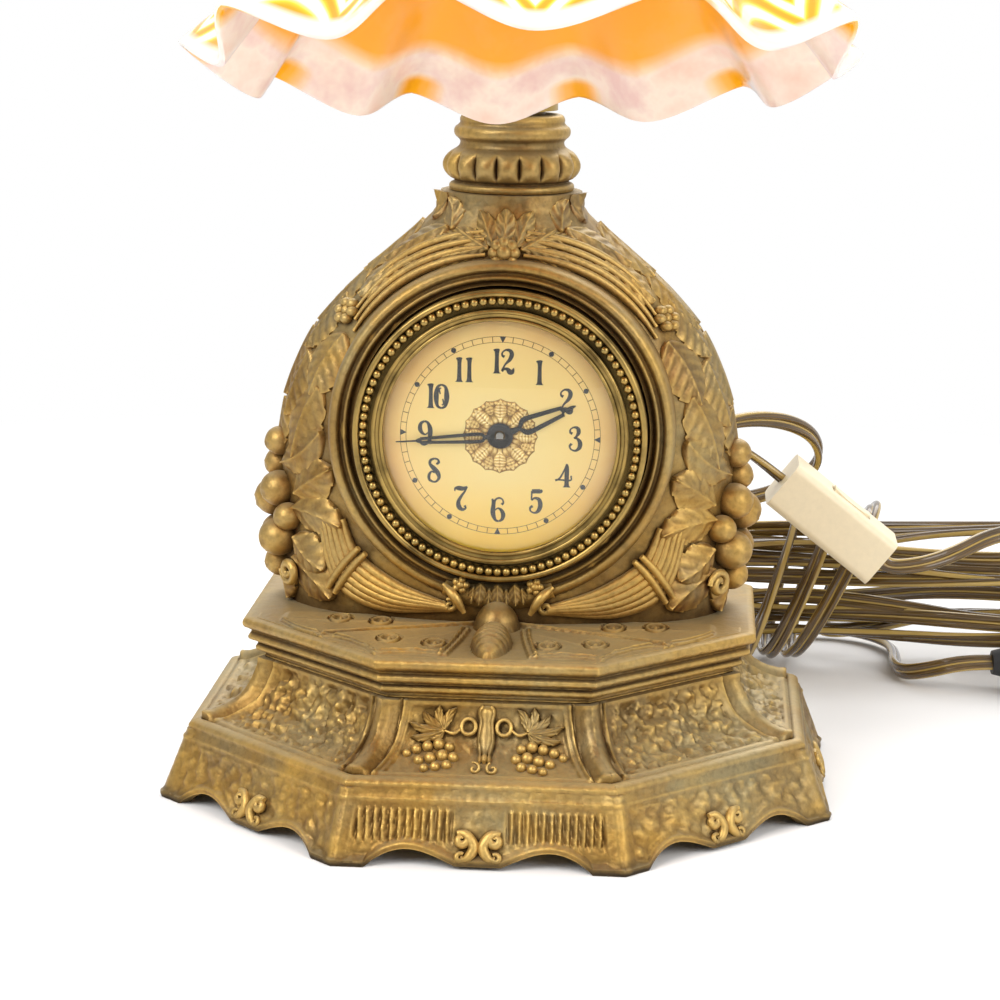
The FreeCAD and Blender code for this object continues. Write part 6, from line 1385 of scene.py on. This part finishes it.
class CLAMP_OT_hands(bpy.types.Operator):
    """Cut the two skeleton hands with their collets"""
    bl_idname = "clock_lamp.hands"
    bl_label = "Hands"

    def execute(self, context):
        def hand(angle, bars, back, thickness, collet, hole):
            """A hand from bars along it, each a line of (along, aside, width)."""
            parts = []
            angle = math.radians(angle)
            way = np.array((math.sin(angle), math.cos(angle)))
            aside = np.array((math.cos(angle), -math.sin(angle)))
            for bar in bars:
                route = [(*(way * along + aside * off), width) for along, off, width in bar]
                line = smooth_route(route, 4 * len(route))
                step = np.gradient(line[:, :2], axis=0)
                step /= np.linalg.norm(step, axis=1)[:, None]
                side = np.stack([-step[:, 1], step[:, 0]], 1)
                ring = ((1, 0), (0.7, 1), (-0.7, 1), (-1, 0), (1, 0))
                rings = [[(*(at[:2] + s * at[2] / 2 * u), back + thickness * v) for u, v in ring]
                         for at, s in zip(line, side)]
                rings = np.array(rings)
                parts.append(capped(np.stack([rings[..., 0], -rings[..., 2], DIAL_HEIGHT + rings[..., 1]],
                                             2)))
            parts.append(turned([(hole, back), (collet, back), (collet, back + 0.6 * thickness),
                                 (collet - 0.35, back + thickness), (hole, back + thickness),
                                 (hole, back)], 40))
            return parts

        hour_bars = [
            [(2.5, 0, 1.9), (4.0, 0, 1.7), (5.4, 0, 1.2), (6.4, 0, 1.5)],
            [(6.0, 0.3, 1.0), (7.2, 1.7, 1.3), (8.6, 1.9, 1.3), (13.0, 1.5, 1.2), (18.4, 0.95, 1.0)],
            [(6.0, -0.3, 1.0), (7.2, -1.7, 1.3), (8.6, -1.9, 1.3), (13.0, -1.5, 1.2), (18.4, -0.95, 1.0)],
            [(18.1, -1.25, 0.6), (18.3, 0, 0.6), (18.1, 1.25, 0.6)],
            [(18.2, 0, 1.3), (19.6, 0, 0.9), (20.6, 0, 1.0), (21.4, 0, 0.8), (22.2, 0, 0.3)],
        ]
        minute_bars = [
            [(2.4, 0, 1.5), (3.4, 0, 1.2), (4.4, 0, 1.3)],
            [(4.2, 0.2, 0.8), (5.4, 1.0, 0.95), (12.0, 0.85, 0.9), (21.6, 0.5, 0.8)],
            [(4.2, -0.2, 0.8), (5.4, -1.0, 0.95), (12.0, -0.85, 0.9), (21.6, -0.5, 0.8)],
            [(21.2, 0, 1.4), (22.2, 0, 1.2), (22.8, 0, 0.6)],
            [(22.4, 0, 0.55), (25.0, 0, 0.45), (28.3, 0, 0.32)],
        ]
        for node, name, body, angle, bars, collet, hole in (
                ("hour_hand", "hour_skeleton", "hour", HOUR_ANGLE, hour_bars, 3.5, 2.55),
                ("minute_hand", "minute_skeleton", "hands", MINUTE_ANGLE, minute_bars, 3.0, 1.5)):
            low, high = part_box(node)
            parts = hand(angle, bars, -high.y / mm, (high.y - low.y) / mm, collet, hole)
            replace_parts(moulded_piece(parts, name, "hand", 30, body), node)
        return {"FINISHED"}


RUFFLE_LOWS = (0.0, 45.0, 80.0, 118.0, 152.0, 184.5, 215.0, 245.0, 285.0, 323.0)
BELL_SHARES = np.array((0.338, 0.372, 0.430, 0.492, 0.550, 0.602, 0.652, 0.706, 0.772, 0.868, 1.0))
# The bell's length and lip, and radii as shares of the lip's; the ruffle's lows are angles round the lip
BELL_START, BELL_LENGTH, LIP_RADIUS = 47.0, 107.0, 78.0
FOLD_STEPS, FOLD_START, FOLD_DEPTH = 31, 0.52, 4.5
ARM_BEND, ARM_TOP, SHADE_TIP, HEAD_SWING = 40.4, 351.6, 168.0, 5.2
FEATHER_TEETH, FEATHER_ROWS, FEATHER_PULL = 20, 17.0, 0.075


def head_frame(points):
    """Points given along the shade's axis, moved to the head's place on the bent arm."""
    tip = math.radians(SHADE_TIP)
    x, y, z = points[..., 0], points[..., 1], points[..., 2]
    y, z = y * math.cos(tip) - z * math.sin(tip), y * math.sin(tip) + z * math.cos(tip)
    y = y - ARM_BEND * (1 - math.cos(tip))
    z = z + ARM_TOP + ARM_BEND * math.sin(tip)
    swing = math.radians(HEAD_SWING)
    return np.stack([x * math.cos(swing) - y * math.sin(swing), x * math.sin(swing) + y * math.cos(swing),
                     z], -1)


class CLAMP_OT_shade(bpy.types.Operator):
    """Blow the ruffled glass shade with its drawn feathers and lustre"""
    bl_idname = "clock_lamp.shade"
    bl_label = "Shade"

    def execute(self, context):
        sizes = context.scene.clock_lamp_sizes
        ruffle, wall = sizes.ruffle / mm, sizes.glass / mm
        lows = np.array(RUFFLE_LOWS + (360.0,))
        angle = np.concatenate([np.linspace(a, b, FOLD_STEPS)[:-1] for a, b in zip(lows, lows[1:])]
                               + [[360.0]])
        phase = np.concatenate([np.linspace(0, 1, FOLD_STEPS)[:-1] for _ in RUFFLE_LOWS] + [[0.0]])
        crisp = (2 * np.abs(np.cos(math.pi * phase)) ** 1.45 - 1)[None]
        soft = np.cos(TURN * phase)[None]
        share = 1 - np.linspace(1, 0, 76)[:, None] ** 1.4

        def surface(share, inset):
            places = np.linspace(0, 1, len(BELL_SHARES))
            fold = ease(share - FOLD_START, 1 - FOLD_START) ** 1.9
            sharp = ease(share - 0.90, 0.08)
            wave = sharp * crisp + (1 - sharp) * soft
            step = 0.01
            slope = (flow(np.clip(share + step, 0, 1), places, BELL_SHARES)
                     - flow(np.clip(share - step, 0, 1), places, BELL_SHARES))
            slope = slope / (np.clip(share + step, 0, 1) - np.clip(share - step, 0, 1))
            rise = slope * LIP_RADIUS / BELL_LENGTH
            length = np.hypot(1, rise)
            radius = LIP_RADIUS * flow(share, places, BELL_SHARES) - FOLD_DEPTH * wave * fold - inset / length
            depth = BELL_START + BELL_LENGTH * share + ruffle * wave * fold + inset * rise / length
            turn = np.radians(angle)[None]
            return np.stack([radius * np.sin(turn), radius * np.cos(turn), depth + 0 * turn], 2)

        outside = surface(share, 0.0)
        inside = surface(share, wall)[::-1]
        middle = (outside[-1] + inside[0]) / 2
        way = outside[-1] - outside[-2]
        way /= np.linalg.norm(way, axis=1)[:, None]
        lip = np.stack([outside[-1] * 0.9 + middle * 0.1 + way * 0.8, middle + way * 1.2,
                        inside[0] * 0.9 + middle * 0.1 + way * 0.8])

        def neck(radius, depth):
            turn = np.radians(angle)
            return np.stack([radius * np.sin(turn), radius * np.cos(turn), np.full(len(angle), depth)], 1)

        collar = [neck(23.9, 41.0), neck(23.9, 35.0), neck(28.5, 35.0), neck(28.7, 37.0), neck(28.5, 39.0),
                  neck(26.4, 39.4), neck(26.2, 43.0)]
        rings = np.concatenate([outside, lip, inside, np.array(collar), outside[:1]])
        total = len(rings) - 1
        shade = grid(head_frame(rings))
        rows = np.concatenate([share[:, 0], [1.0, 1.0, 1.0], share[::-1, 0], np.zeros(8)])
        depth_share = shade.data.attributes.new("down", "FLOAT", "POINT")
        gold = shade.data.attributes.new("gold", "FLOAT", "POINT")
        layer = shade.data.uv_layers["UVMap"]
        flat = np.empty(len(shade.data.loops) * 2)
        layer.data.foreach_get("uv", flat)
        flat = flat.reshape(-1, 2)
        corner = np.empty(len(shade.data.loops), int)
        shade.data.loops.foreach_get("vertex_index", corner)
        row = np.zeros(len(shade.data.vertices), int)
        column = np.zeros(len(shade.data.vertices), int)
        row[corner] = np.rint(flat[:, 1] * total).astype(int)
        column[corner] = np.rint(flat[:, 0] * (len(angle) - 1)).astype(int)
        depth_share.data.foreach_set("value", rows[row].astype(np.float32))
        fold = 1 - np.abs(2 * phase[column] - 1)
        lustre = ease(0.928 - 0.012 * fold - rows[row], 0.04)
        corner_gold = ease(fold - 0.62, 0.26) * ease(rows[row] - 0.952, 0.02)
        lustre = np.maximum(lustre, corner_gold)
        gold.data.foreach_set("value", lustre.astype(np.float32))
        around = angle[np.rint(flat[:, 0] * (len(angle) - 1)).astype(int)] / 360.0
        layer.data.foreach_set("uv", np.stack([around, rows[row[corner]]], 1).ravel())
        shade.data.materials.append(MADE["feather"])
        shade.data.materials.append(MADE["lustre"])
        first, last = len(outside) + 1, len(outside) + len(lip) + len(inside)
        for face in shade.data.polygons:
            middle_row = np.mean([row[v] for v in face.vertices])
            face.material_index = 1 if first < middle_row < last else 0
        finish(shade, "ruffled_shade", None, "head", 60, 0.00002)
        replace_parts(shade, "glass_shade")
        return {"FINISHED"}


# Opal glass with drawn feathers: white glass with gold glass dragged through it while hot, fire
# polished, so it has a wet gloss, a white lip and yellow strokes with orange hearts.
def feathered_opal(tones):
    made, tree, shader, place = material("feathered_opal_glass")
    spread = add(tree, "UVMap", uv_map="UVMap")
    part = add(tree, "SeparateXYZ", {"Vector": spread})
    wander = add(tree, "TexNoise", {"Vector": place, "Scale": 38.0, "Detail": 2.0})
    round_it = add(tree, "Math", {0: part.outputs["X"], 1: FEATHER_TEETH * math.pi}, operation="MULTIPLY")
    comb = add(tree, "Math", {0: round_it}, operation="SINE")
    pulled = add(tree, "Math", {0: comb}, operation="ABSOLUTE")
    drag = add(tree, "Math", {0: pulled, 1: FEATHER_PULL}, operation="MULTIPLY")
    down = add(tree, "Math", {0: part.outputs["Y"], 1: drag}, operation="ADD")
    waver = add(tree, "Math", {0: wander, 1: 0.05}, operation="MULTIPLY")
    lane = add(tree, "Math", {0: down, 1: waver}, operation="ADD")
    bands = add(tree, "Math", {0: lane, 1: FEATHER_ROWS * TURN}, operation="MULTIPLY")
    stroke = add(tree, "Math", {0: bands}, operation="SINE")
    stroke_share = add(tree, "MapRange", {"Value": stroke, "From Min": -1.0, "From Max": 1.0})
    tint = add(tree, "ValToRGB", {"Fac": stroke_share}, [
        (0.24, tones.opal), (0.40, linear("#f5dc84")), (0.64, tones.feather), (0.95, linear("#eb9c10"))])
    edge = add(tree, "MapRange", {"Value": part.outputs["Y"], "From Min": 0.978, "From Max": 0.99})
    final = add(tree, "MixRGB", {"Fac": edge, "Color1": tint,
                                 "Color2": tones.opal})
    dress(tree, shader, Base_Color=final, Roughness=0.14, Subsurface_Weight=0.1,
          Subsurface_Radius=(0.0016, 0.0011, 0.0008), Coat_Weight=0.3)
    return made


# Lustre inside the shade: metal salts fired on the hot glass, deep gold inside and a rosy pearl at the lip.
def gold_lustre(tones):
    made, tree, shader, place = material("fired_gold_lustre")
    deep = add(tree, "Attribute", attribute_name="gold")
    cloud = add(tree, "TexNoise", {"Vector": place, "Scale": 55.0, "Detail": 4.0, "Roughness": 0.6})
    shift = add(tree, "MapRange", {"Value": cloud, "To Min": -0.15, "To Max": 0.15})
    share = add(tree, "Math", {0: deep.outputs["Fac"], 1: shift}, operation="ADD",
                use_clamp=True)
    pearl = add(tree, "ValToRGB", {"Fac": cloud}, [
        (0.30, tones.blush), (0.50, linear("#f1e1d2")), (0.66, linear("#e3c0b8"))])
    tint = add(tree, "ValToRGB", {"Fac": share}, [
        (0.05, grey(1.0)), (0.30, linear("#f4ca74")), (0.60, tones.lustre), (1.0, linear("#f4a60e"))])
    final = add(tree, "MixRGB", {"Fac": share, "Color1": pearl,
                                 "Color2": tint})
    dress(tree, shader, Base_Color=final, Roughness=0.28, Coat_Weight=0.2, Thin_Film_Thickness=380.0,
          Thin_Film_IOR=1.45)
    return made


# Stamped gilt: thin brass pressed in a die and gilded; its hollows are painted darker as shade and its high
# spots painted brighter than the lamp's own brass, as a highlight.
def stamped_gilt():
    made, tree, shader, place = material("stamped_gilt")
    cloud = add(tree, "TexNoise", {"Vector": place, "Scale": 300.0, "Detail": 3.0})
    part = add(tree, "SeparateXYZ", {"Vector": place})
    # Painted shade and highlight: the deeper the relief, the darker the colour, and its high spots are painted
    # pale.
    above = add(tree, "MapRange", {"Value": part.outputs["Y"], "From Min": -0.03104, "From Max": -0.03152})
    uneven = add(tree, "MapRange", {"Value": cloud, "To Min": -0.3, "To Max": 0.3})
    raised = add(tree, "Math", {0: above, 1: uneven}, operation="ADD")
    tint = add(tree, "ValToRGB", {"Fac": raised}, [
        (0.0, linear("#8c6a34")), (0.3, linear("#c09c58")), (0.7, linear("#e8ce8a")),
        (1.0, linear("#fff0c4"))])
    # Painted shade: ambient occlusion darkens the hollows between the pressed leaves.
    open_air = add(tree, "AmbientOcclusion", {"Distance": 0.0012}, samples=6)
    crevice_shade = add(tree, "ValToRGB", {"Fac": open_air.outputs["AO"]},
                [(0.35, linear("#a8874c")), (0.85, grey(1.0))])
    final = add(tree, "MixRGB", {"Fac": 0.8, "Color1": tint, "Color2": crevice_shade},
                blend_type="MULTIPLY")
    dress(tree, shader, Base_Color=final, Metallic=0.6, Roughness=0.4)
    return made


MADE = {}
CAD_FINISHES = {
    "gilt": ("plinth", "clock_case", "neck_collar"),
    "brass": ("swivel_hub", "gooseneck_arm", "swivel_washer", "socket_cap", "socket_shell", "shade_holder",
              "shade_thumbscrews", "threaded_nipple", "nipple_locknut", "screw_shell", "front_plate",
              "back_plate",
              "movement_can", "movement_clamp_ring", "plate_pillars", "centre_wheel", "spring_barrel",
              "third_wheel", "fourth_wheel", "escape_wheel", "balance_wheel", "cannon_pinion", "minute_wheel",
              "hour_wheel", "rear_cover", "ratchet_wheel", "setting_knob", "winding_key", "base_cover_plate",
              "bulb_base"),
    "bezel": ("bezel",),
    "steel": ("casting_screws", "movement_screws", "mainspring", "pallet_lever", "hairspring", "centre_arbor",
              "winding_arbor", "ratchet_click", "regulator_lever", "plug_blades"),
    "dial": ("dial",),
    "glass": ("crystal", "bulb_glass"),
    "fibre": ("socket_insulator",),
    "porcelain": ("socket_core",),
    "rubber": ("plug_body", "cord_bushing"),
    "cream": ("switch_body", "switch_rocker"),
}


class CLAMP_OT_finishes(bpy.types.Operator):
    """Mix the materials and give the CAD model's own pieces theirs"""
    bl_idname = "clock_lamp.finishes"
    bl_label = "Finishes"

    def execute(self, context):
        tones = context.scene.clock_lamp_colours
        MADE.update(
            gilt=gilt_spelter(tones),
            ring=gilt_spelter(tones, "gilt_ring", 0.7),
            leaves=gilt_spelter(tones, "gilt_leaves", 0.9, "#84481f"),
            brass=aged_brass(tones, "aged_brass"),
            bezel=aged_brass(tones, "bezel_brass"),
            beads=aged_brass(tones, "bead_brass", 0.2, "#a08a52"),
            rosette=stamped_gilt(),
            steel=ground_steel(),
            dial=cream_dial(tones),
            glass=clear_glass(),
            ink=black_finish("printing_ink", "#2c2f36", 0.6, 0.0),
            track=black_finish("track_ink", "#86602a", 0.6, 0.0),
            hand=black_finish("blackened_steel", "#1e2024", 0.35, 0.4),
            feather=feathered_opal(tones),
            lustre=gold_lustre(tones),
            fibre=moulded("vulcanised_fibre", linear("#4a3a30"), 0.7),
            porcelain=moulded("glazed_porcelain", linear("#efeae0"), 0.15, sheen=0.5),
            rubber=moulded("black_rubber", tones.rubber, 0.5),
            cream=moulded("cream_plastic", tones.cream, 0.38),
        )
        for finish_name, nodes in CAD_FINISHES.items():
            for name in nodes:
                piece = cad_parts[name]
                piece.data.materials.clear()
                piece.data.materials.append(MADE[finish_name])
        return {"FINISHED"}


CLASSES = (ClockLampSizes, ClockLampColours, CLAMP_OT_finishes, CLAMP_OT_stage, CLAMP_OT_cord,
           CLAMP_OT_plinth,
           CLAMP_OT_moth, CLAMP_OT_garland, CLAMP_OT_case, CLAMP_OT_foliage, CLAMP_OT_collar, CLAMP_OT_dial,
           CLAMP_OT_hands, CLAMP_OT_shade)


class CLAMP_PT_panel(bpy.types.Panel):
    """Lists the lamp's pieces"""
    bl_idname = "CLAMP_PT_panel"
    bl_label = "Clock lamp"
    bl_space_type = "VIEW_3D"
    bl_region_type = "UI"
    bl_category = "Clock lamp"

    def draw(self, context):
        for group in (context.scene.clock_lamp_sizes, context.scene.clock_lamp_colours):
            for name in group.__annotations__:
                self.layout.prop(group, name)
        for made in CLASSES[2:]:
            self.layout.operator(made.bl_idname)


def register():
    for made in CLASSES + (CLAMP_PT_panel,):
        bpy.utils.register_class(made)
    bpy.types.Scene.clock_lamp_sizes = bpy.props.PointerProperty(type=ClockLampSizes)
    bpy.types.Scene.clock_lamp_colours = bpy.props.PointerProperty(type=ClockLampColours)


def unregister():
    del bpy.types.Scene.clock_lamp_sizes
    del bpy.types.Scene.clock_lamp_colours
    for made in reversed(CLASSES + (CLAMP_PT_panel,)):
        bpy.utils.unregister_class(made)


def main():
    register()
    bpy.ops.clock_lamp.finishes()
    bpy.ops.clock_lamp.stage()
    bpy.ops.clock_lamp.cord()
    bpy.ops.clock_lamp.plinth()
    bpy.ops.clock_lamp.moth()
    bpy.ops.clock_lamp.garland()
    bpy.ops.clock_lamp.case()
    bpy.ops.clock_lamp.foliage()
    bpy.ops.clock_lamp.collar()
    bpy.ops.clock_lamp.dial()
    bpy.ops.clock_lamp.hands()
    bpy.ops.clock_lamp.shade()


if __name__ == "__main__":
    main()
